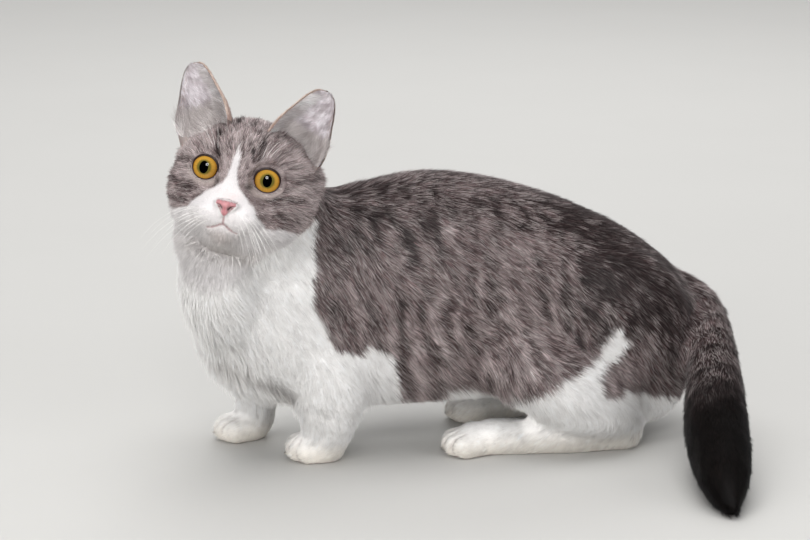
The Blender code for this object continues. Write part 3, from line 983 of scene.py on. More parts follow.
    def tail(self, points: Array) -> Array:
        """The tail's colours: grey with soft rings, and a nearly black end.

        Args:
            points: places in the cat's frame.

        Returns:
            The colours.
        """
        y = points[:, 1] + lattice_noise(points, 8, seed=11) * 3
        rings = np.sin(2 * math.pi * y / self.ring_pitch)
        tone = 0.38 + 0.17 * rings + 0.24 * lattice_noise(points, 4, seed=12)
        colour = blend(linear(*self.dark), linear(*self.grey), tone * 1.5)
        colour = blend(colour, linear(*self.silver), (tone - 0.6) * 1.1)
        return blend(colour, linear(*self.black), smoothstep(58, 158, 0.32 * (110 - points[:, 2]) - y))

    def face(self, points: Array) -> tuple[Array, Array]:
        """The head's colours.

        Args:
            points: places in the cat's frame.

        Returns:
            The colours, and how white each is from 0 to 1.
        """
        own = SIZES.head().into(points)
        x, y, z = own.T
        strays = np.stack((lattice_noise(own, 3, seed=15), lattice_noise(own, 3, seed=16)), axis=1)
        moved = np.stack((x, z), axis=1) + 0.8 * strays
        front = 1 - smoothstep(34, 46, y)
        colour = self.tabby(self.mask(own, moved, front))
        for sign in SIDES.values():
            ring = np.hypot((x - sign * 18.3) / 13.0, (z + 0.6) / 12.0)
            below = 0.85 * smoothstep(1, -7, z) + 0.15 * smoothstep(0, 8, sign * x - 22)
            near = (1 - smoothstep(0.7, 0.98, ring)) * front
            colour = blend(colour, linear(*self.pale_skin), near * below)
            corner = bell((x - sign * 9.6, 2.2), (z + 5.6, 2.6))
            colour = blend(colour, linear(*self.dark), corner * front * 0.85)
        white = smoothstep(-0.9, 0.9, inside_distance(moved, self.face_white))
        white *= 1 - smoothstep(52, 66, y) * smoothstep(-38, -24, z)
        colour = blend(colour, linear(*self.white), white)
        # Lays the chin's grey with painted shade, the painted shadow under the chin and the bridge's pink
        # tint.
        for shade in (self.chin, self.throat, self.bridge):
            colour = shade.lay(colour, own)
        return colour, white

    def mask(self, own: Array, moved: Array, front: Array) -> Array:
        """The tone of the face's grey: rays from the muzzle outwards, and the dark strokes.

        Args:
            own: places in the head's frame.
            moved: the same seen from in front, each a little astray.
            front: how far each is on the front of the head, from 0 to 1.

        Returns:
            The tones, from 0 for dark to 1 for silver.
        """
        x, y, z = own.T
        rays = np.stack((np.arctan2(x, z + 6) * 16, np.hypot(x, z + 6) / 3.4), axis=1)
        tone = 0.84 + 0.16 * lattice_noise(own, 6, seed=13) + 0.26 * lattice_noise(rays, 1.6, seed=14)
        tone += 0.16 * lattice_noise(own, 2.0, seed=17) - 0.24 * smoothstep(26, 50, y)
        tone -= 0.12 * smoothstep(0, -18, z) + 0.1 * smoothstep(4, 18, z)
        for stroke in self.strokes:
            away = line_distance(moved, stroke.line)[0]
            tone -= front * stroke.strength * bell((away, stroke.width))
        return tone

    def paint(self, points: Array, head: Array, tail: Array) -> tuple[Array, Array]:
        """The whole cat's colours.

        Args:
            points: places in the cat's frame.
            head: how much each belongs to the head, from 0 to 1.
            tail: how much each belongs to the tail, from 0 to 1.

        Returns:
            The colours, and how white each is from 0 to 1.
        """
        colour, white = self.body(points)
        colour = blend(colour, self.tail(points), tail)
        white = white * (1 - np.clip(tail, 0, 1))
        face, pale = self.face(points)
        return blend(colour, face, head), white * (1 - head) + pale * head


MARKINGS_AND_SHADE = Markings()


@dataclass
class Skin:
    """One skin for the whole cat but its ears, inside the solids by the coat's depth."""

    voxel: float = 1.7
    swell: float = 0.4
    rounds: int = 12
    spread: int = 24
    breast_rounds: int = 70
    muzzle: Place = (0, -14, -15)
    whorl: Place = (0, -14, -13)
    ground: float = 0.15
    lid_sink: float = 1.4
    lid_rise: float = 0.35
    toe_depth: float = 1.9
    fold_depth: float = 2.6
    flesh: Colour = (164, 134, 134)
    item: Item = None
    points: Array = None
    normals: Array = None
    triangles: Array = None
    edges: Array = None
    fields: dict[str, Array] = field(default_factory=dict)

    def build(self, frame: dict) -> None:
        """Makes the skin from copies of the solids.

        Args:
            frame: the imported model.
        """
        nodes = [name for lie in LIES for name in lie.value.names]
        self.item = self.fuse([frame["nodes"][name] for name in nodes])
        self.sharpen()
        self.read()
        self.classify(frame)
        self.relax()
        self.sink()
        self.open_eyes()
        self.part_toes()
        self.shape_jaw()
        self.finish(nodes)

    def fuse(self, solids: list[Item]) -> Item:
        """Joins copies of the solids into one closed surface.

        Args:
            solids: the solids' objects.

        Returns:
            The new object.
        """
        copies = [linked("skin", solid.data.copy()) for solid in solids]
        join(copies)
        made = copies[-1]
        with editing(made):
            bpy.ops.mesh.remove_doubles(threshold=1e-5)
        modify(made, "DISPLACE", strength=self.swell * MM, mid_level=0.0)
        modify(made, "REMESH", mode="VOXEL", voxel_size=self.voxel * MM)
        with editing(made, "KEEP"):
            bpy.ops.mesh.separate(type="LOOSE")
        shells = sorted(bpy.context.selected_objects, key=lambda shell: len(shell.data.vertices))
        for scrap in shells[:-1]:
            bpy.data.objects.remove(scrap)
        shells[-1].name = "skin"
        return shells[-1]

    def sharpen(self) -> None:
        """Halves the faces where the shape is fine: on the face, at the eyes and mouth, and on the toes."""
        head = SIZES.head()
        spots = [(head.out((0, 0, -8)), 34.0)]
        spots += [(SIZES.eye(side).out((0, -10, 0)), 13.0) for side in SIDES]
        spots += [(head.out((0, -12, -24)), 15.0)]
        spots += [(np.array(centre) - (12, 0, 0), 19.0) for centre, _ in TOES.paws]
        mesh = self.item.data
        for centre, reach in spots:
            near = np.linalg.norm(face_centres(mesh) - centre, axis=1) < reach
            bpy.context.tool_settings.mesh_select_mode = (False, False, True)
            with editing(self.item, "DESELECT"):
                pass
            mesh.polygons.foreach_set("select", near)
            with editing(self.item, "KEEP"):
                bpy.ops.mesh.subdivide(number_cuts=1)

    def read(self) -> None:
        """Reads the mesh into arrays."""
        mesh = self.item.data
        self.points = mesh_points(mesh)
        self.edges = read_rows(mesh.edges, "vertices", 2, np.int32)
        mesh.calc_loop_triangles()
        self.triangles = read_rows(mesh.loop_triangles, "vertices", 3, np.int32)
        self.find_normals()

    def find_normals(self) -> None:
        """Works out the normal at each point."""
        a, b, c = (self.points[self.triangles[:, k]] for k in range(3))
        across = np.cross(b - a, c - a)
        total = np.zeros_like(self.points)
        for k, axis in product(range(3), range(3)):
            total[:, axis] += np.bincount(self.triangles[:, k], across[:, axis], len(self.points))
        self.normals = unit(total)

    def average(self, values: Array, rounds: int, share: Array | float = 0.5) -> Array:
        """Spreads values over the surface.

        Args:
            values: one row a point.
            rounds: how many times each point moves towards its neighbours' mean.
            share: how far it moves each time.

        Returns:
            The spread values.
        """
        start, end = self.edges.T
        count = len(values)
        degree = np.bincount(self.edges.ravel(), minlength=count)
        flat = values.reshape(count, -1).astype(float)
        amount = np.broadcast_to(share, (count,))
        for _ in range(rounds):
            fresh = np.empty_like(flat)
            for axis in range(flat.shape[1]):
                column = flat[:, axis]
                sums = np.bincount(start, column[end], count) + np.bincount(end, column[start], count)
                fresh[:, axis] = column + amount * (sums / degree - column)
            flat = fresh
        return flat.reshape(values.shape)

    def sort(self, frame: dict) -> Array:
        """Finds the region of the solid nearest to each point.

        Args:
            frame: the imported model.

        Returns:
            The region's number in LIES for each point.
        """
        places, owners = [], []
        for index, lie in enumerate(LIES):
            for name in lie.value.names:
                mesh = frame["nodes"][name].data
                places += [mesh_points(mesh), face_centres(mesh)]
                owners += [index] * (len(mesh.vertices) + len(mesh.polygons))
        return np.array(owners)[nearest(np.concatenate(places), self.points)]

    def classify(self, frame: dict) -> None:
        """Gives every point its region, and spreads what the regions say.

        Args:
            frame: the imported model.
        """
        region = self.sort(frame)
        self.fields["region"] = region
        for name in ("depth", "length", "width", "lift", "density"):
            value = np.array([getattr(lie.value, name) for lie in LIES])[region]
            self.fields[name] = self.average(value, self.spread)
        self.hang(region)
        head, tail = region == LIES.index(Lie.HEAD), region == LIES.index(Lie.TAIL)
        self.shorten_face(head)
        for name, own in (("head", head), ("tail", tail)):
            self.fields[name] = self.average(own.astype(float), 10)
        flow = np.array([lie.value.lie or (0, 0, 0) for lie in LIES])[region]
        flow = np.where(head[:, None], self.head_flow(), flow)
        flow = np.where(tail[:, None], self.tail_flow(), flow)
        self.fields["flow"] = self.along(self.average(self.along(flow), 60))

    def hang(self, region: Array) -> None:
        """Makes the hair beneath the trunk and at the elbows longer and looser.

        Args:
            region: each point's region.
        """
        hanging = [LIES.index(lie) for lie in (Lie.CHEST, Lie.FORELEG, Lie.ABDOMEN, Lie.HAUNCH)]
        down, height = -self.normals[:, 2], self.points[:, 2]
        under = smoothstep(0.1, 0.75, down) * np.isin(region, hanging) * smoothstep(30, 46, height)
        under = self.average(under, 10)
        self.fields["length"] += 7 * under
        self.fields["lift"] += 14 * under

    def shorten_face(self, head: Array) -> None:
        """Makes the hair short, fine and dense on the muzzle and round the eyes, and longer to the back.

        Args:
            head: whether each point lies on the head.
        """
        own = SIZES.head().into(self.points)
        far = smoothstep(6, 58, np.linalg.norm(own - np.array(self.muzzle), axis=1))
        crown = smoothstep(8, 24, own[:, 2])
        beard = smoothstep(-32, -42, own[:, 2])
        eyes = self.eye_ring(1.8)
        size = (2.2 + 7.4 * far - 1.2 * crown + 3.5 * beard) * (0.62 + 0.38 * eyes)
        share = self.average(head.astype(float), 12)
        for name, value in (
            ("length", np.clip(size, 1.5, 10)), ("width", 0.16 + 0.11 * far * eyes),
            ("depth", np.clip(0.28 * size, 0.35, 2.4)), ("density", 3.2 - 1.6 * far * eyes),
        ):
            self.fields[name] = self.fields[name] * (1 - share) + value * share

    def eye_ring(self, outer: float) -> Array:
        """How far points are from the eyes.

        Args:
            outer: how many openings' widths from an eye's axis count as far.

        Returns:
            A value from 0 at the lids to 1 at the outer ring.
        """
        least = np.full(len(self.points), FAR_AWAY)
        for side in SIDES:
            own, ring = SIZES.look(side, self.points)
            least = np.minimum(least, np.where(own[:, 1] < 6, ring, FAR_AWAY))
        return smoothstep(1.0, outer, least)

    def along(self, vectors: Array) -> Array:
        """Lays directions down on the surface."""
        return unit(vectors - (vectors * self.normals).sum(1, keepdims=True) * self.normals)

    def head_flow(self) -> Array:
        """The lie of the face's hair: away from the nose and the eyes, and back and down at the sides.

        Returns:
            A direction a point.
        """
        own = SIZES.head().into(self.points)
        away = own - np.array(self.whorl)
        reach = np.linalg.norm(away, axis=1, keepdims=True)
        flow = away / np.maximum(reach, 1) + np.array((0, 0.9, -0.35)) * smoothstep(22, 60, reach)
        for sign in SIDES.values():
            apart = own - np.array((sign * 18.0, 0, 0))
            apart[:, 1] = 0
            gap = np.linalg.norm(apart, axis=1, keepdims=True)
            outward = apart / np.maximum(gap, 1)
            near = (1 - smoothstep(9, 17, gap)) * (own[:, 1:2] < 14)
            towards = np.minimum((flow * outward).sum(1, keepdims=True), 0)
            flow = flow + near * (0.5 - towards) * outward
        return SIZES.head().aim(flow)

    def tail_flow(self) -> Array:
        """The lie of the tail's hair: along its path, root to tip."""
        run = line_distance(self.points, TAIL_PATH)[1]
        return unit(np.diff(TAIL_PATH, axis=0))[run]

    def relax(self) -> None:
        """Smooths away the solids' facets and cuts, least on the face and feet, and rounds the breast."""
        fine = np.clip(1.6 - self.fields["depth"], 0, 1) / 1.6
        share = 0.5 * (1 - 0.75 * smoothstep(0.0, 0.25, fine))
        self.even(self.rounds, share, -1.04 * share)
        own = SIZES.head().into(self.points)
        breast = (1 - smoothstep(-100, -70, self.points[:, 0])) * smoothstep(45, 70, self.points[:, 2])
        breast *= 1 - smoothstep(-50, -38, own[:, 2])
        self.even(self.breast_rounds, 0.6 * breast, -0.6 * breast)
        self.find_normals()

    def even(self, rounds: int, there: Array, back: Array) -> None:
        """Smooths the points by going there and back again, which keeps their size."""
        for share in (there, back) * rounds:
            self.points = self.average(self.points, 1, share)

    def sink(self) -> None:
        """Moves the skin in by the coat's depth, but leaves the soles on the floor."""
        own = SIZES.head().into(self.points)
        nose = np.linalg.norm(own - np.array((0, -18, -18)), axis=1)
        depth = self.fields["depth"] * (0.35 + 0.65 * smoothstep(6, 16, nose)) + 1.7 * Nose.cover(own)
        step = -self.normals * depth[:, None]
        step[:, 2] *= smoothstep(0, 9, self.points[:, 2])
        self.points = self.points + step
        self.points[:, 2] = np.maximum(self.points[:, 2], self.ground)
        self.points = self.average(self.points, 2, 0.3)
        self.find_normals()

    def open_eyes(self) -> None:
        """Opens the eye sockets and lays the lids on the eyeballs."""
        for side in SIDES:
            own, ring = SIZES.look(side, self.points)
            x, y, z = own.T
            front = (y < 4) & (np.hypot(x, z) < 18)
            inner = self.on_ball(x, z, SIZES.eye_radius - self.lid_sink)
            rim = self.on_ball(x, z, SIZES.eye_radius + self.lid_rise)
            share = 1 - smoothstep(1.05, 1.5, ring)
            lidded = y * (1 - share) + rim * share
            moved = np.where(ring < 1.0, inner, lidded)
            own[:, 1] = np.where(front, moved, y)
            self.points = SIZES.eye(side).out(own)

    @staticmethod
    def on_ball(x: Array, z: Array, radius: float) -> Array:
        """The depth of a ball's front at places across and up."""
        return -np.sqrt(np.maximum(radius**2 - x**2 - z**2, 0))

    def part_toes(self) -> None:
        """Sinks the grooves between the toes and the fold beneath the breast."""
        sunk = self.toe_depth * TOES.groove(self.points) + self.fold_depth * MARKINGS_AND_SHADE.fold(self.points)
        self.points = self.points - self.normals * sunk[:, None]

    def shape_jaw(self) -> None:
        """Sets the chin off from the throat and the cheeks, and sinks the mouth's line."""
        head = SIZES.head()
        own = head.into(self.points)
        face = own[:, 1] < 12
        middle = bell((own[:, 0], 15)) * face
        below = smoothstep(-33, -41, own[:, 2]) * (1 - smoothstep(-44, -64, own[:, 2]))
        beside = smoothstep(6, 13, np.abs(own[:, 0])) * np.exp(-((own[:, 0] / 24) ** 4)) * face
        own[:, 1] += middle * 2.2 * below + 1.7 * beside * below
        chin = bell((own[:, 0], 6.0), (own[:, 2] + 36.5, 4.2)) * (own[:, 1] < 12)
        own[:, 1] -= 1.8 * chin
        own[:, 1] += middle * 2.4 * bell((own[:, 2] + 47.5, 6.5))
        front = own[:, 1] < 6
        away = line_distance(own[:, ::2], Mouth.corners())[0]
        groove = np.where(own[:, 2] > -28.6, 0.4, 1.3) * bell((away, 0.9))
        own[:, 1] += np.where(front, groove, 0)
        self.fields["lip"] = np.where(front, away, 99)
        self.points = head.out(own)
        self.find_normals()

    def finish(self, nodes: list[str]) -> None:
        """Writes the arrays back, paints the skin, unwraps it and stands it in for the solids.

        Args:
            nodes: the solids' names.
        """
        mesh = self.item.data
        move_points(mesh, self.points)
        colour, white = MARKINGS_AND_SHADE.paint(self.points, self.fields["head"], self.fields["tail"])
        self.fields["bare"] = self.bareness()
        # The skin under the coat is darkened, most under grey fur, as painted shade deep in the coat.
        colour = colour * (0.7 + 0.26 * white)[:, None]
        set_colours(mesh, MARKED, blend(colour, linear(*self.flesh), self.fields["bare"] * 0.8))
        mesh.uv_layers.new(name=UNWRAP)
        with editing(self.item):
            bpy.ops.uv.smart_project(angle_limit=math.radians(70), island_margin=0.002)
        bpy.ops.object.shade_smooth()
        mesh.materials.clear()
        mesh.materials.append(FurFinish("skin_under_fur", sheen=0.0).material())
        enlist(self.item, "grey_coat", *nodes)

    def bareness(self) -> Array:
        """How bare the skin is: round the eyes and the nose, on the lips and under the soles.

        Returns:
            A value from 0 to 1 a point.
        """
        bare = 1 - smoothstep(0.35, 1.0, self.fields["lip"])
        for side in SIDES:
            own, ring = SIZES.look(side, self.points)
            bare = np.maximum(bare, np.where(own[:, 1] < 2, 1 - smoothstep(1.02, 1.1, ring), 0))
        bare = np.maximum(bare, Nose.cover(SIZES.head().into(self.points)))
        sole = (1 - smoothstep(0.4, 1.6, self.points[:, 2])) * (self.normals[:, 2] < -0.3)
        return np.maximum(bare, sole)

    def loop_maps(self) -> Array:
        """The unwrap at each triangle's corners.

        Returns:
            Three places a triangle.
        """
        mesh = self.item.data
        mesh.calc_loop_triangles()
        loops = read_rows(mesh.loop_triangles, "loops", 3, np.int32)
        return read_rows(mesh.uv_layers[UNWRAP].data, "uv", 2)[loops]


def in_turn(*parts: Array) -> Array:
    """The first rows of several arrays, then their second rows, and so on."""
    return np.stack(parts, axis=1).reshape(-1, 3)


@dataclass(frozen=True)
class Tufts:
    """Thin closed spikes with three sides, one a row: foot, tip, way across, surface's normal and width."""

    base: Array
    tip: Array
    across: Array
    normal: Array
    width: Array
    clearance: float = 0.25
    patch: float = 0.0015

    def build(self, name: str, slot: str, colours: tuple[Array, Array], spot: Array, fur: Material) -> Item:
        """Makes the tufts one piece.

        Args:
            name: the piece's name.
            slot: the record's material slot.
            colours: the colours at the feet and at the tips.
            spot: each tuft's place on the unwrap.
            fur: the material.

        Returns:
            The piece.
        """
        base, aside, raised = self.base, self.across * self.width, self.normal * self.width
        points = in_turn(base - aside, base + aside, base + raised, self.tip)
        points[:, 2] = np.maximum(points[:, 2], self.clearance)
        one = np.array(((0, 1, 2), (1, 0, 3), (2, 1, 3), (0, 2, 3)))
        faces = (one[None] + 4 * np.arange(len(base))[:, None, None]).reshape(-1, 3)
        made = new_piece(name, points, faces, slot)
        foot, end = colours
        set_colours(made.data, MARKED, in_turn(foot, foot, foot, end))
        self.soften(made.data)
        shape = np.array(((-1, -1), (1, -1), (0, -0.5), (0, 1))) * self.patch
        patch = np.clip(spot, 0.002, 0.998)[:, None, :] + shape
        layer = made.data.uv_layers.new(name=UNWRAP)
        layer.data.foreach_set("uv", patch.reshape(-1, 2)[faces.ravel()].astype(np.float32).ravel())
        made.data.materials.append(fur)
        return made

    def soften(self, mesh: bpy.types.Mesh) -> None:
        """Gives the tufts' mesh normals close to the skin's, so that the coat shades as one."""
        left, right = (unit(self.normal + self.across * share) for share in (-0.5, 0.5))
        mesh.normals_split_custom_set_from_vertices(in_turn(left, right, self.normal, self.normal))


@dataclass(frozen=True)
class Roots:
    """Where tufts grow: place, normal, lie, sizes, colour fields and place on the unwrap."""

    place: Array
    normal: Array
    flow: Array
    length: Array
    width: Array
    lift: Array
    head: Array
    tail: Array
    spot: Array

    def pick(self, chosen: Array) -> "Roots":
        """Some of the roots."""
        return Roots(**{part.name: getattr(self, part.name)[chosen] for part in fields(self)})


@dataclass
class Coat:
    """The fur, as thin closed tufts that follow the lie of the hair and gather in small locks."""

    skin: Skin
    count: int = 337000
    most: int = 48000
    sink: float = 0.4
    seed: int = 11
    clump: float = 9.0
    lock: int = 9
    gather: float = 0.4
    frost: Colour = (212, 202, 199)
    frosted: float = 0.4

    PATCHES = (
        ("head", (Lie.HEAD,), "grey_coat"),
        ("neck", (Lie.NECK,), "white_coat"),
        ("chest", (Lie.CHEST, Lie.SHOULDER), "grey_coat"),
        ("forelegs", (Lie.FORELEG, Lie.FOREPAW), "white_coat"),
        ("flanks", (Lie.ABDOMEN,), "grey_coat"),
        ("rump", (Lie.RUMP, Lie.HAUNCH), "grey_coat"),
        ("hindlegs", (Lie.HIND_FOOT, Lie.HINDPAW), "white_coat"),
        ("tail", (Lie.TAIL,), "dark_coat"),
    )

    def build(self) -> list[Item]:
        """Grows every patch of the coat.

        Returns:
            The pieces.
        """
        skin = self.skin
        a, b, c = (skin.points[skin.triangles[:, k]] for k in range(3))
        area = np.linalg.norm(np.cross(b - a, c - a), axis=1) / 2
        haired = 1 - smoothstep(0.15, 0.5, skin.fields["bare"])
        weight = area * (skin.fields["density"] * haired)[skin.triangles].mean(1)
        region = skin.fields["region"][skin.triangles[:, 0]]
        maps = skin.loop_maps()
        fur = FurFinish("fur").material()
        made = []
        for number, (name, lies, slot) in enumerate(self.PATCHES):
            share = np.where(np.isin(region, [LIES.index(lie) for lie in lies]), weight, 0)
            count = int(self.count * share.sum() / weight.sum())
            rng = np.random.default_rng(self.seed + number)
            roots = self.root(share, count, maps, rng)
            pieces = math.ceil(count / self.most)
            for index, chosen in enumerate(np.array_split(np.arange(count), pieces)):
                title = f"coat_{name}" + (f"_{index + 1}" if pieces > 1 else "")
                made.append(self.grow(title, roots.pick(chosen), slot, fur, rng))
        return made

    def root(self, weight: Array, count: int, maps: Array, rng: Chance) -> Roots:
        """Spreads roots evenly over faces by their weight.

        Args:
            weight: how much hair each face carries.
            count: how many roots there are.
            maps: the unwrap at the faces' corners.
            rng: the source of chance.

        Returns:
            The roots.
        """
        skin = self.skin
        total = np.cumsum(weight)
        face = np.searchsorted(total, (np.arange(count) + rng.random(count)) / count * total[-1])
        face = np.minimum(face, len(weight) - 1)
        side, far = np.sqrt(rng.random(count)), rng.random(count)
        mix = np.stack((1 - side, side * (1 - far), side * far), axis=1)
        corners = skin.triangles[face]

        def read(values: Array) -> Array:
            """Values at the roots, from the faces' corners."""
            return np.einsum("ij,ij...->i...", mix, values[corners])

        found = {name: read(skin.fields[name]) for name in ("length", "width", "lift", "head", "tail")}
        normal = unit(read(skin.normals))
        flow = read(skin.fields["flow"])
        flow = unit(flow - (flow * normal).sum(1, keepdims=True) * normal)
        spot = np.einsum("ij,ijk->ik", mix, maps[face])
        return Roots(place=read(skin.points), normal=normal, flow=flow, spot=spot, **found)

    def grow(self, name: str, roots: Roots, slot: str, fur: Material, rng: Chance) -> Item:
        """Grows one piece of coat.

        Args:
            name: the piece's name.
            roots: its roots.
            slot: the record's material slot.
            fur: the material.
            rng: the source of chance.

        Returns:
            The piece.
        """
        place, normal, flow = roots.place, roots.normal, roots.flow
        count = len(place)
        across = np.cross(flow, normal)
        locks = lattice_noise(place, self.clump, seed=21) * 15
        locks = locks + lattice_noise(place, self.clump * 0.4, seed=22) * 10
        turn = np.radians(locks + rng.normal(0, 7, count))[:, None]
        cosine, sine = np.cos(turn), np.sin(turn)
        flow, across = flow * cosine + across * sine, across * cosine - flow * sine
        length = (roots.length * rng.uniform(0.6, 1.15, count))[:, None]
        width = (roots.width * rng.uniform(0.7, 1.3, count))[:, None]
        raise_by = lattice_noise(place, self.clump * 0.6, seed=23) * 5 + rng.normal(0, 4, count)
        lift = np.radians(np.clip(roots.lift * 0.8 + raise_by, 3, 42))[:, None]
        base = place - normal * self.sink
        tip = base + length * (flow * np.cos(lift) + normal * np.sin(lift))
        leader = self.leaders(base, rng)
        gather = np.clip((length - 2) / 8, 0, 1) * self.gather * rng.uniform(0.5, 1.2, count)[:, None]
        tip = tip + gather * (tip[leader] - tip)
        colours = self.colours(roots, length, leader, rng)
        return Tufts(base, tip, across, normal, width).build(name, slot, colours, roots.spot, fur)

    def leaders(self, base: Array, rng: Chance) -> Array:
        """For each tuft, the tuft whose tip it leans to, so that hair gathers in small locks."""
        chosen = rng.choice(len(base), max(len(base) // self.lock, 1), replace=False)
        return chosen[nearest(base[chosen], base)]

    def colours(self, roots: Roots, length: Array, leader: Array, rng: Chance) -> tuple[Array, Array]:
        """Colours each tuft by the markings under its middle, darker at the foot as painted shade deep in the
        coat, lighter at a grey tuft's tip as painted sheen, and some with silver tips.

        Args:
            roots: the tufts' roots.
            length: their lengths.
            leader: the tuft that each leans to.
            rng: the source of chance.

        Returns:
            The colours at the feet and at the tips.
        """
        count = len(leader)
        colour, white = MARKINGS_AND_SHADE.paint(roots.place + roots.flow * length * 0.4, roots.head, roots.tail)
        grey = 1 - white
        lock = rng.normal(0, 1, count)[leader]
        tint = np.exp(rng.normal(0, 0.4, count) + 0.2 * lock) * grey
        tint += (1 + 0.06 * rng.normal(0, 1, count) + 0.07 * lock) * white
        silver = np.where(rng.random(count) < self.frosted, rng.uniform(0.3, 1.0, count), 0.0) * grey
        silver *= smoothstep(0.004, 0.05, colour.mean(1))
        # Tufts are darker at the foot as painted shade deep in the coat; grey tufts are a little lighter at
        # the tip as painted sheen.
        low = colour * ((0.5 * grey + 0.9 * white) * tint)[:, None]
        high = colour * ((1.12 * grey + 1.0 * white) * tint)[:, None]
        return low, blend(high, linear(*self.frost), silver)


@dataclass(frozen=True)
class EarRow:
    """One height of an ear: its share of the height, its half width and its depth."""

    share: float
    half_width: float
    depth: float


@dataclass(frozen=True)
class Hair:
    """A kind of ear hair: how much, how long, how it lies and its two tones."""

    count: int
    length: float
    shrink: float
    width: float
    lift: float
    spread: float
    rise: float
    sweep: float
    first: Colour
    last: Colour


class EarHair(Enum):
    """The hair of an ear: on its back, along its edge, inside, from its inner edge, and at its foot."""

    OUTSIDE = Hair(12000, 3.6, 0.3, 0.24, 8, 9, 1.0, 0.0, (84, 72, 70), (126, 113, 110))
    RIM = Hair(8000, 2.0, 0.2, 0.22, 12, 14, 1.0, 0.7, (184, 158, 144), (224, 206, 194))
    INSIDE = Hair(6000, 4.6, 0.4, 0.18, 12, 12, 1.0, 0.6, (168, 156, 160), (240, 234, 238))
    FRINGE = Hair(1500, 12.0, 0.45, 0.24, 25, 15, 0.7, 0.85, (196, 186, 186), (248, 244, 244))
    TUFT = Hair(4000, 11.0, 0.0, 0.24, 26, 18, 1.0, 0.5, (150, 137, 135), (238, 231, 229))


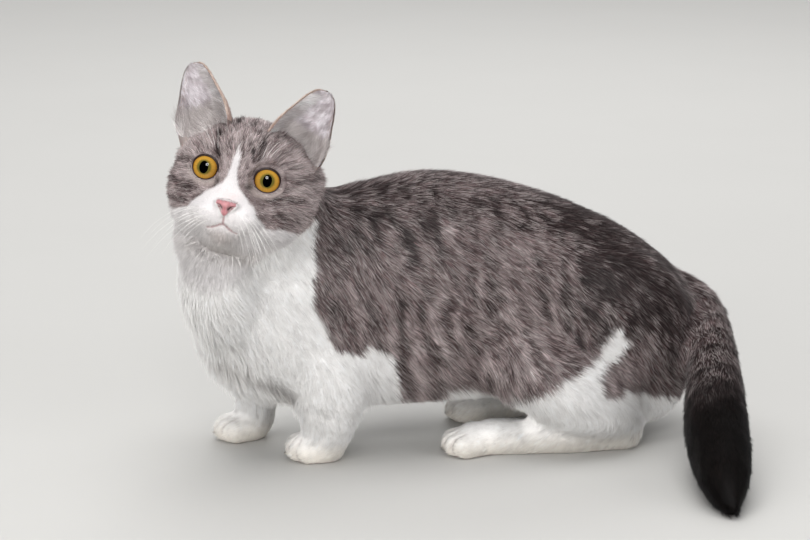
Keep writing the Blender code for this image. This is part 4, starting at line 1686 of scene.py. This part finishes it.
@dataclass
class Ears:
    """Two cupped ears, grey outside and pale inside, with fine hair."""

    rows: tuple[EarRow, ...] = (
        EarRow(-0.4, 16, 15), EarRow(-0.2, 18.2, 16), EarRow(0, 19.2, 16.5), EarRow(0.14, 18.8, 15.6),
        EarRow(0.28, 17.8, 14), EarRow(0.42, 16.0, 12), EarRow(0.55, 13.9, 9.8), EarRow(0.67, 12.2, 7.8),
        EarRow(0.78, 10.4, 6), EarRow(0.87, 8.6, 4.4), EarRow(0.93, 6.9, 3.3), EarRow(0.97, 5.1, 2.4),
        EarRow(0.99, 3.6, 1.7), EarRow(1.0, 1.8, 1.0),
    )
    sweep: float = 86.0
    columns: int = 36
    heights: int = 60
    wall: float = 1.6
    seed: int = 31
    inner: Colour = (206, 193, 199)
    deep: Colour = (200, 174, 178)
    pouch: Colour = (176, 120, 126)
    foot: Colour = (182, 170, 166)
    edge: Colour = (178, 152, 142)
    outer: Colour = (112, 99, 96)

    def build(self) -> list[Item]:
        """Builds both ears and their hair.

        Returns:
            The pieces.
        """
        made = []
        leather = LeatherFinish("ear_skin", roughness=0.6, grain=900, raised=0.15, glow=0.2).material()
        for side in SIDES:
            shell = self.shell(side)
            shell.data.materials.append(leather)
            rng = np.random.default_rng(self.seed + SIDES[side])
            fur = FurFinish("ear_fur_" + side).material()
            made += [shell, *(self.grow(side, kind, rng, fur) for kind in EarHair)]
        return made

    def section(self, share: Array) -> tuple[Array, Array]:
        """The half width and depth at shares of the height."""
        known, width, depth = zip(*(astuple(row) for row in self.rows))
        return np.interp(share, known, width), np.interp(share, known, depth)

    def surface(self, side: str, angle: Array, share: Array, inset: float) -> Array:
        """Places on the ear's wall.

        Args:
            side: which ear.
            angle: degrees round the cup, from one edge to the other.
            share: share of the ear's height.
            inset: how far inside the outer face.

        Returns:
            The places in the cat's frame.
        """
        width, depth = self.section(share)
        turn = np.radians(angle)
        thick = inset * (1 - 0.45 * smoothstep(60, 86, np.abs(angle)))
        across = (width - thick) * np.sin(turn)
        back = (depth - thick) * np.cos(turn)
        fold = 1.4 * bell((share - 0.18, 0.2)) * np.sin(np.radians(angle * 5)) * (inset > 0)
        return SIZES.ear(side).out(np.stack((across, back + fold, share * SIZES.ear_height), axis=1))

    def locate(self, side: str, points: Array) -> tuple[Array, Array, Array]:
        """Where places are on the ear's wall.

        Args:
            side: which ear.
            points: places in the cat's frame.

        Returns:
            The shares of the height, the degrees round the cup, and how far out, with the outer face at 1.
        """
        own = SIZES.ear(side).into(points)
        share = own[:, 2] / SIZES.ear_height
        width, depth = self.section(share)
        across, back = own[:, 0] / width, own[:, 1] / np.maximum(depth, 0.1)
        return share, np.degrees(np.arctan2(across, back)), np.hypot(across, back)

    def shell(self, side: str) -> Item:
        """The ear's wall as one closed shell.

        Args:
            side: which ear.

        Returns:
            The shell.
        """
        wide, high = self.columns + 1, self.heights + 1
        low = self.rows[0].share
        shares = low + (1 - low) * np.sin(np.linspace(0, 1, high) * math.pi / 2) ** 0.9
        grids = np.meshgrid(np.linspace(-self.sweep, self.sweep, wide), shares)
        angle, share = (grid.ravel() for grid in grids)
        walls = [self.surface(side, angle, share, inset) for inset in (0.0, self.wall)]
        count = wide * high
        faces = []
        for row, column in product(range(high - 1), range(wide - 1)):
            one = row * wide + column
            faces.append((one + 1, one, one + wide, one + wide + 1))
            faces.append((count + one, count + one + 1, count + one + wide + 1, count + one + wide))
        border = list(range(wide))
        border += [row * wide + wide - 1 for row in range(1, high)]
        border += [(high - 1) * wide + column for column in range(wide - 2, -1, -1)]
        border += [row * wide for row in range(high - 2, 0, -1)]
        around = zip(border, border[1:] + border[:1])
        faces += [(start, end, count + end, count + start) for start, end in around]
        made = new_piece("ear_" + side + "_shell", np.concatenate(walls), faces, "grey_coat")
        modify(made, "SUBSURF", levels=1, render_levels=1)
        self.tint(made.data, side)
        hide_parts("ear_" + side)
        return made

    def tint(self, mesh: bpy.types.Mesh, side: str) -> None:
        """Paints the ear: grey outside, pale inside, tan along the edge and pink in the pouch.

        Args:
            mesh: the shell's mesh.
            side: which ear.
        """
        points = mesh_points(mesh)
        share, angle, reach = self.locate(side, points)
        edge = np.maximum(smoothstep(62, 78, np.abs(angle)), smoothstep(0.9, 0.97, share))
        pale = blend(linear(*self.inner), linear(*self.deep), 1 - smoothstep(0.1, 0.5, share))
        pouch = bell((share - 0.12, 0.14), (SIDES[side] * angle - 35, 16))
        pale = blend(pale, linear(*self.pouch), pouch * 0.8)
        pale = blend(linear(*self.foot), pale, smoothstep(-0.06, 0.1, share))
        colour = blend(linear(*self.outer), pale, 1 - smoothstep(0.92, 0.98, reach))
        edge = edge * smoothstep(0.0, 0.12, share)
        set_colours(mesh, MARKED, blend(colour, linear(*self.edge), edge))

    def spread(self, side: str, kind: EarHair, rng: Chance) -> tuple[Array, Array]:
        """Spreads the roots of one kind of hair over the ear's wall.

        Args:
            side: which ear.
            kind: where it grows.
            rng: the source of chance.

        Returns:
            The degrees round the cup, and the shares of the height.
        """
        sign, count = SIDES[side], kind.value.count
        angle = rng.uniform(-1, 1, count) * self.sweep
        share = rng.uniform(-0.05, 0.985, count)
        if kind is EarHair.RIM:
            path = rng.uniform(-1, 1, count)
            share = 1 - np.abs(path) * 0.98
            angle = np.sign(path) * (self.sweep - rng.uniform(0, 8, count))
            angle = angle * smoothstep(0, 0.03, np.abs(path))
        if kind is EarHair.FRINGE:
            angle = -sign * rng.uniform(62, 85, count)
            share = rng.uniform(0.0, 0.86, count)
        if kind is EarHair.TUFT:
            angle = -sign * (66 - 148 * rng.random(count) ** 1.3)
            share = rng.uniform(-0.04, 0.24, count)
        return angle, share

    def grow(self, side: str, kind: EarHair, rng: Chance, fur: Material) -> Item:
        """Grows one ear's hair of one kind.

        Args:
            side: which ear.
            kind: where it grows.
            rng: the source of chance.
            fur: its material.

        Returns:
            The piece.
        """
        sign, hair = SIDES[side], kind.value
        angle, share = self.spread(side, kind, rng)
        inner = kind not in (EarHair.OUTSIDE, EarHair.RIM)
        inset = self.wall + 0.05 if inner else -0.05
        place = self.surface(side, angle, share, inset)
        up = unit(self.surface(side, angle, np.minimum(share + 0.02, 1), inset) - place + 1e-6)
        round_cup = unit(self.surface(side, angle + 2, share, inset) - place)
        normal = unit(np.cross(round_cup, up)) * (1 if inner else -1)
        sweep = (sign * hair.sweep) * np.ones(hair.count)
        if kind is EarHair.RIM:
            normal = unit(normal - SIZES.ear(side).aim(np.array((0, 1.0, 0))) * 0.4)
            sweep = np.sign(angle) * hair.sweep * smoothstep(0.0, 0.05, 1 - share)
        flow = unit(up * hair.rise + round_cup * sweep[:, None])
        length = rng.uniform(0.6, 1.15, hair.count) * hair.length * (1 - hair.shrink * np.clip(share, 0, 1))
        across = unit(np.cross(flow, normal))
        turn = np.radians(rng.normal(0, hair.spread, hair.count))[:, None]
        flow = flow * np.cos(turn) + across * np.sin(turn)
        rise = np.radians(np.clip(rng.normal(hair.lift, 6, hair.count), 2, 70))[:, None]
        width = hair.width * rng.uniform(0.7, 1.3, hair.count)[:, None]
        base = place - normal * 0.2
        tip = base + length[:, None] * (flow * np.cos(rise) + normal * np.sin(rise))
        colour = self.colour(side, kind, place, rng)
        spot = np.stack([0.05 + 0.9 * rng.random(hair.count) for _ in range(2)], axis=1)
        name = f"ear_{side}_hair_{kind.name.lower()}"
        return Tufts(base, tip, across, normal, width).build(name, "grey_coat", (colour, colour), spot, fur)

    def colour(self, side: str, kind: EarHair, place: Array, rng: Chance) -> Array:
        """The colours of one kind of hair, in streaks that run up the ear.

        Args:
            side: which ear.
            kind: where it grows.
            place: its roots.
            rng: the source of chance.

        Returns:
            One colour a tuft.
        """
        hair = kind.value
        own = SIZES.ear(side).into(place)
        streaks = lattice_noise(own / (1, 1, 3.5), 1.3, seed=42)
        tone = np.clip(0.5 + 0.3 * lattice_noise(own, 5, seed=41) + 0.6 * streaks, 0, 1)
        colour = blend(linear(*hair.first), linear(*hair.last), tone)
        colour = colour * rng.normal(1, 0.12, hair.count)[:, None]
        if kind is EarHair.OUTSIDE:
            share, angle, _ = self.locate(side, place)
            edge = np.maximum(smoothstep(56, 72, np.abs(angle)), smoothstep(0.84, 0.93, share))
            colour = blend(colour, linear(*self.edge), edge)
        return colour


@dataclass
class Eyes:
    """Two eyeballs with a bulging cornea, and the dark rims of their lids."""

    rings: int = 96
    bulge: float = 0.5
    bulge_reach: float = 8.2
    lid_top: float = 0.85
    lid_low: float = 0.42
    lid_sides: int = 10
    corner_turn: float = 24.0
    corner_width: float = 13.0
    corner_stretch: float = 0.2
    lid_colour: Colour = (44, 32, 30)

    def build(self) -> list[Item]:
        """Builds both eyes and their lids.

        Returns:
            The pieces.
        """
        wet = EyeFinish().material()
        rim = LeatherFinish("lid_rim", roughness=0.35, raised=0.2, glow=0.0).material()
        made = []
        for side in SIDES:
            for part, finish in ((self.eyeball(side), wet), (self.lid(side), rim)):
                part.data.materials.append(finish)
                made.append(part)
        return made

    def eyeball(self, side: str) -> Item:
        """One eyeball.

        Args:
            side: which eye.

        Returns:
            The eyeball.
        """
        made = ball(self.rings, self.rings // 2)
        made.name = "eyeball_" + side
        x, y, z = read_rows(made.data.vertices, "co").astype(float).T
        own = np.stack((x, -z, y), axis=1) * SIZES.eye_radius
        ring = np.hypot(own[:, 0], own[:, 2])
        cornea = self.bulge * (1 - smoothstep(0, self.bulge_reach, ring))
        own[:, 1] -= np.where(own[:, 1] < 0, cornea, 0)
        move_points(made.data, SIZES.eye(side).out(own))
        gaze = np.stack((own[:, 0] / GAZE_SPAN + 0.5, own[:, 2] / GAZE_SPAN + 0.5, 0 * ring), axis=1)
        set_colours(made.data, GAZE, gaze)
        with editing(made):
            bpy.ops.mesh.normals_make_consistent(inside=False)
        bpy.ops.object.shade_smooth()
        return enlist(made, "amber_eye", "eye_" + side)

    def outline(self, side: str, angle: Array) -> tuple[Array, Array]:
        """The opening between the lids, with its pointed inner corner.

        Args:
            side: which eye.
            angle: turns round the opening, in radians.

        Returns:
            How far across and up the opening's edge is.
        """
        sign = SIDES[side]
        corner = (math.pi if sign > 0 else 0.0) + sign * math.radians(self.corner_turn)
        apart = np.angle(np.exp(1j * (angle - corner)))
        stretch = 1 + self.corner_stretch * bell((apart, math.radians(self.corner_width)))
        return SIZES.opening[0] * np.cos(angle) * stretch, SIZES.opening[1] * np.sin(angle) * stretch

    def lid(self, side: str) -> Item:
        """The dark rim round one opening, a closed roll that thins below.

        Args:
            side: which eye.

        Returns:
            The rim.
        """
        steps, around = self.rings, self.lid_sides
        angle = np.linspace(0, 2 * math.pi, steps, endpoint=False)
        x, z = self.outline(side, angle)
        thick = self.lid_low + (self.lid_top - self.lid_low) * smoothstep(-0.2, 0.8, np.sin(angle))
        y = -np.sqrt(np.maximum((SIZES.eye_radius + 0.1) ** 2 - x**2 - z**2, 1))
        centre = np.stack((x, y, z), axis=1)
        outward = unit(np.stack((x, 0 * x, z), axis=1))
        forward = unit(centre)
        aside = unit(outward - (outward * forward).sum(1, keepdims=True) * forward)
        rows = []
        for turn in (2 * math.pi * k / around for k in range(around)):
            rows.append(centre + thick[:, None] * (aside * math.cos(turn) + forward * 0.8 * math.sin(turn)))
        own = np.stack(rows, axis=1).reshape(-1, 3)
        faces = []
        for step, k in product(range(steps), range(around)):
            one, two, after = step * around, (step + 1) % steps * around, (k + 1) % around
            faces.append((one + k, two + k, two + after, one + after))
        made = new_piece("lid_" + side, SIZES.eye(side).out(own), faces, "dark_coat")
        with editing(made):
            bpy.ops.mesh.normals_make_consistent(inside=False)
        set_colours(made.data, MARKED, np.repeat(linear(*self.lid_colour)[None], len(own), axis=0))
        return made


@dataclass
class Nose:
    """The pink nose leather with two nostrils. Each bulb has a middle and half sizes in the head's frame."""

    bulbs: tuple[tuple[Place, Place], ...] = (
        ((0, -19.4, -17.7), (3.7, 3.6, 3.1)),
        ((3.5, -18.2, -17.6), (2.8, 3.1, 2.4)),
        ((-3.5, -18.2, -17.6), (2.8, 3.1, 2.4)),
        ((0, -18.6, -21.0), (2.1, 2.9, 3.4)),
    )
    grain: float = 0.3
    pink: Colour = (188, 134, 138)
    # Painted shade in the nostrils' openings.
    dark: Colour = (60, 24, 26)
    furrow: Colour = (178, 104, 110)
    nostril: Line = ((2.3, -19.8), (3.1, -18.9), (4.4, -18.4), (5.8, -18.7))
    nostril_depth: float = 1.7
    furrow_depth: float = 0.45

    @staticmethod
    def cover(own: Array) -> Array:
        """How much the nose leather covers places.

        Args:
            own: places in the head's frame.

        Returns:
            A value from 0 to 1 for each.
        """
        x, y, z = own.T
        wide = 5.6 - 0.75 * np.clip(-17.5 - z, 0, 6)
        across = 1 - smoothstep(0.0, 0.8, np.abs(x) - wide)
        up = 1 - smoothstep(-15.5, -14.8, z)
        low = smoothstep(-24.2, -23.2, z)
        return across * up * low * (y < -6)

    def build(self) -> Item:
        """Builds the nose from bulbs that are fused, then opens the nostrils.

        Returns:
            The nose.
        """
        bulbs = []
        for centre, size in self.bulbs:
            bulb = ball(32, 20)
            own = read_rows(bulb.data.vertices, "co") * np.array(size) + np.array(centre)
            move_points(bulb.data, SIZES.head().out(own))
            bulbs.append(bulb)
        join(bulbs)
        made = bulbs[-1]
        made.name = "nose_leather"
        modify(made, "REMESH", mode="VOXEL", voxel_size=self.grain * MM)
        modify(made, "SMOOTH", factor=0.5, iterations=10)
        self.shape(made.data)
        bpy.ops.object.shade_smooth()
        wet = LeatherFinish("nose_skin", roughness=0.38, raised=0.6, glow=0.15)
        made.data.materials.append(wet.material())
        return enlist(made, "nose_leather", "nose")

    def shape(self, mesh: bpy.types.Mesh) -> None:
        """Sinks the nostrils and the furrow between them, and tints the leather, with painted shade in the
        nostrils.

        Args:
            mesh: the nose's mesh.
        """
        head = SIZES.head()
        own = head.into(mesh_points(mesh))
        front = own[:, 1] < -16
        mirrored = np.stack((np.abs(own[:, 0]), own[:, 2]), axis=1)
        away, run, share = line_distance(mirrored, self.nostril)
        along = (run + share) / (len(self.nostril) - 1)
        hole = bell((away, 0.85 - 0.35 * along)) * front
        furrow = bell((own[:, 0], 0.5)) * front * (own[:, 2] < -19)
        own[:, 1] += self.nostril_depth * hole + self.furrow_depth * furrow
        move_points(mesh, head.out(own))
        colour = linear(*self.pink) * (1 + 0.1 * lattice_noise(own, 2.5, seed=51))[:, None]
        # The nostrils are darkened as painted shade in their openings.
        colour = blend(colour, linear(*self.dark), hole * 1.3)
        set_colours(mesh, MARKED, blend(colour, linear(*self.furrow), furrow * 0.5))


@dataclass
class Mouth:
    """The dark line of the lips, with the short furrow under the nose."""

    radius: float = 0.17
    taper: float = 0.45
    arm: Line = ((0, -29.4), (1.6, -29.9), (3.6, -31.2), (6.0, -32.5), (8.8, -33.2))
    middle: Colour = (132, 106, 106)
    corner: Colour = (184, 162, 160)

    @staticmethod
    def corners() -> Line:
        """The lips' line on the head seen from in front, from one corner over the middle to the other."""
        left = tuple((-x, z) for x, z in reversed(Mouth.arm))
        return (*left, (0, -23.4), (0, -29.3), *Mouth.arm[1:])

    def build(self, skin: Skin) -> Item:
        """Lays the lips along the skin.

        Args:
            skin: the skin, which they lie on.

        Returns:
            The lips' object.
        """
        tree = BVHTree.FromPolygons(skin.points.tolist(), skin.triangles.tolist())
        paths = [[self.settle(tree, sign * x, z) for x, z in self.fine()] for sign in SIDES.values()]
        made = strands("lips", paths, self.radius, self.taper, "nose_leather")
        points = mesh_points(made.data)
        out = np.abs(SIZES.head().into(points)[:, 0])
        colour = blend(linear(*self.middle), linear(*self.corner), smoothstep(3, 8, out))
        set_colours(made.data, MARKED, colour)
        made.data.materials.append(LeatherFinish("lip_skin", roughness=0.4, raised=0.2, glow=0.1).material())
        return made

    def fine(self) -> Line:
        """One half of the lips' line, with four steps in each run.

        Returns:
            The line's places.
        """
        x, z = np.array(self.arm, float).T
        runs = len(self.arm) - 1
        at = np.linspace(0, runs, runs * 4 + 1)
        known = np.arange(runs + 1)
        return tuple(zip(np.interp(at, known, x), np.interp(at, known, z)))

    @staticmethod
    def settle(tree: BVHTree, x: float, z: float) -> Array:
        """The skin's place straight behind a place seen from in front.

        Args:
            tree: the skin.
            x: how far to the cat's left the place is.
            z: how far up it is.

        Returns:
            The place in the cat's frame.
        """
        head = SIZES.head()
        found = tree.ray_cast(Vector(head.out((x, -60, z))), Vector(head.aim((0, 1, 0))))[0]
        return np.array(found) + head.aim((0, 0.1, 0))


def strands(name: str, paths: list[list[Array]], radius: float, taper: float, slot: str) -> Item:
    """Thin round strands along paths, thinner towards their ends.

    Args:
        name: the piece's name.
        paths: the places that each strand follows.
        radius: the radius at its start, in millimetres.
        taper: the share of the radius that is left at its end.
        slot: the record's material slot.

    Returns:
        The piece, as a mesh.
    """
    curve = bpy.data.curves.new(name, "CURVE")
    curve.dimensions = "3D"
    curve.bevel_depth = radius * MM
    curve.bevel_resolution = 1
    curve.use_fill_caps = True
    for path in paths:
        spline = curve.splines.new("POLY")
        spline.points.add(len(path) - 1)
        for index, (target, place) in enumerate(zip(spline.points, Studio.metres(np.array(path)))):
            target.co = (*place, 1)
            target.radius = 1 + (taper - 1) * index / (len(path) - 1)
    select_only(linked(name, curve))
    bpy.ops.object.convert(target="MESH")
    made = bpy.context.object
    with editing(made):
        bpy.ops.mesh.remove_doubles(threshold=1e-6)
        bpy.ops.mesh.normals_make_consistent(inside=False)
    bpy.ops.object.shade_smooth()
    return enlist(made, slot)


@dataclass
class Whiskers:
    """Long stiff hairs in rows on the upper lip, and three over each eye."""

    rows: int = 3
    columns: int = 4
    brows: int = 3
    radius: float = 0.115
    taper: float = 0.2
    steps: int = 12
    seed: int = 61

    def build(self, skin: Skin) -> Item:
        """Roots the whiskers in the skin and bends them down.

        Args:
            skin: the skin, which they grow from.

        Returns:
            The whiskers' object.
        """
        tree = BVHTree.FromPolygons(skin.points.tolist(), skin.triangles.tolist())
        rng = np.random.default_rng(self.seed)
        paths = []
        for sign, row, column in product(SIDES.values(), range(self.rows), range(self.columns)):
            x = sign * (9.5 + 2.7 * column + rng.uniform(-0.5, 0.5))
            z = -23.0 - 3.3 * row + rng.uniform(-0.5, 0.5)
            length = 17 + 5 * column - 1.5 * row + rng.uniform(-4, 3)
            if sign < 0:
                aim = (-0.85, 0.05 * column - 0.1, -0.12 - 0.2 * row)
            else:
                aim = (0.75 - 0.12 * row, 0.1 * column - 0.2, -0.45 - 0.15 * row)
            paths.append(self.bend(Mouth.settle(tree, x, z), aim, length, rng.uniform(0.4, 0.65)))
        for sign, step in product(SIDES.values(), range(self.brows)):
            root = Mouth.settle(tree, sign * (13.5 + 2 * step), 12.5 + 0.6 * step)
            paths.append(self.bend(root, (sign * (0.15 + 0.2 * step), -0.6, 1.0), 20 + 3 * step, 0.3))
        made = strands("whiskers", paths, self.radius, self.taper, "white_coat")
        horn = PlainFinish("whisker_horn", (240, 238, 235), 0.35, 300, (0.9, 1.05))
        made.data.materials.append(horn.material())
        return made

    def bend(self, root: Array, aim: Place, length: float, droop: float) -> list[Array]:
        """A path that leaves along a direction of the head's frame and droops by a share of its length."""
        aim, sunk = SIZES.head().aim(unit(np.array(aim))), np.array((0, 0, -droop * length))
        return [root + aim * length * share + sunk * share**2 for share in np.linspace(0, 1, self.steps)]


@dataclass(frozen=True)
class Lamp:
    """A soft round lamp. One that is mirrored shows in the eyes and lights nothing else."""

    name: str
    place: Place
    size: float
    power: float
    colour: Colour = (1.0, 1.0, 1.0)
    mirrored: bool = False

    def hang(self, target: Place) -> None:
        """Hangs the lamp and turns it to a place.

        Args:
            target: the place.
        """
        light = bpy.data.lights.new(self.name, "AREA")
        light.shape = "DISK"
        light.size = self.size
        light.energy = self.power
        light.color = self.colour
        made = linked(self.name, light)
        made.location = self.place
        made.rotation_euler = (Vector(target) - Vector(self.place)).to_track_quat("-Z", "Y").to_euler()
        made.visible_glossy = self.mirrored
        made.visible_diffuse = not self.mirrored


@dataclass
class Room:
    """The pale floor, the soft lights and the camera. Lamps are placed in metres."""

    camera_place: Place = (-388.88, -1484.5, 466.1)
    toward_camera: Place = (-0.236, -0.945, 0.225)
    right: Place = (0.970, -0.242, 0.0)
    lens: float = 110.2
    sensor: float = 36.0
    floor_half: float = 9.0
    floor: PlainFinish = PlainFinish("pale_floor", (192, 191, 188), 0.8, 6, (0.985, 1.015))
    air: Colour = (0.83, 0.83, 0.84)
    air_strength: float = 0.62
    lit: Place = (-0.02, 0.0, 0.1)
    lamps: tuple[Lamp, ...] = (
        Lamp("key", (-0.36, -1.36, 1.08), 0.34, 4.2, (1.0, 0.99, 0.97)),
        Lamp("glint", (-0.36, -1.36, 1.08), 0.58, 24.0, mirrored=True),
        Lamp("left", (-1.7, -1.5, 0.62), 1.4, 27.0, (1.0, 0.995, 0.985)),
        Lamp("right", (1.4, -1.6, 0.4), 1.5, 17.0, (0.99, 0.99, 1.0)),
        Lamp("rim", (0.6, 1.7, 1.4), 1.2, 7.0),
        Lamp("top", (-0.2, 0.0, 3.4), 3.2, 76.0),
        Lamp("far", (1.2, 5.0, 3.4), 4.0, 90.0),
    )

    def build(self) -> None:
        """Makes the floor, the lights and the camera."""
        self.lay_floor()
        for lamp in self.lamps:
            lamp.hang(self.lit)
        self.fill_air()
        self.set_camera()

    def lay_floor(self) -> None:
        """Lays a wide pale floor just under the soles."""
        bpy.ops.object.select_all(action="DESELECT")
        bpy.ops.mesh.primitive_plane_add(size=2 * self.floor_half)
        made = bpy.context.object
        made.name = "floor"
        made.data.materials.append(self.floor.material())
        made.visible_glossy = False

    def fill_air(self) -> None:
        """Fills the room with even pale light, which the eyes don't mirror."""
        world = bpy.data.worlds.new("air")
        world.use_nodes = True
        background = world.node_tree.nodes["Background"]
        background.inputs["Color"].default_value = (*self.air, 1)
        background.inputs["Strength"].default_value = self.air_strength
        world.cycles_visibility.glossy = False
        bpy.context.scene.world = world
        bpy.context.scene.view_settings.view_transform = "Standard"

    def set_camera(self) -> None:
        """Sets the camera at the photo's view."""
        data = bpy.data.cameras.new("camera")
        data.lens = self.lens
        data.sensor_width = self.sensor
        made = linked("camera", data)
        back, right = Vector(self.toward_camera).normalized(), Vector(self.right).normalized()
        right = (right - back * right.dot(back)).normalized()
        turn = Matrix((right, back.cross(right), back)).transposed().to_4x4()
        made.matrix_world = Matrix.Translation(Studio.metres(self.camera_place)) @ turn
        bpy.context.scene.camera = made


def main() -> None:
    """Builds the cat, its floor and its light, and reports each piece."""
    logging.basicConfig(level=logging.INFO, format="%(message)s", stream=sys.stdout, force=True)
    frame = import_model()
    Studio.settle()
    LOG.info("shift %s", np.round(Studio.shift, 2))
    skin = Skin()
    skin.build(frame)
    LOG.info("skin: %d points, %d triangles", len(skin.points), len(skin.triangles))
    pieces = [*Coat(skin).build(), *Ears().build(), *Eyes().build(), Nose().build()]
    for piece in [*pieces, Mouth().build(skin), Whiskers().build(skin)]:
        LOG.info("%s: %d faces", piece.name, len(piece.data.polygons))
    Room().build()


if __name__ == "__main__":
    main()
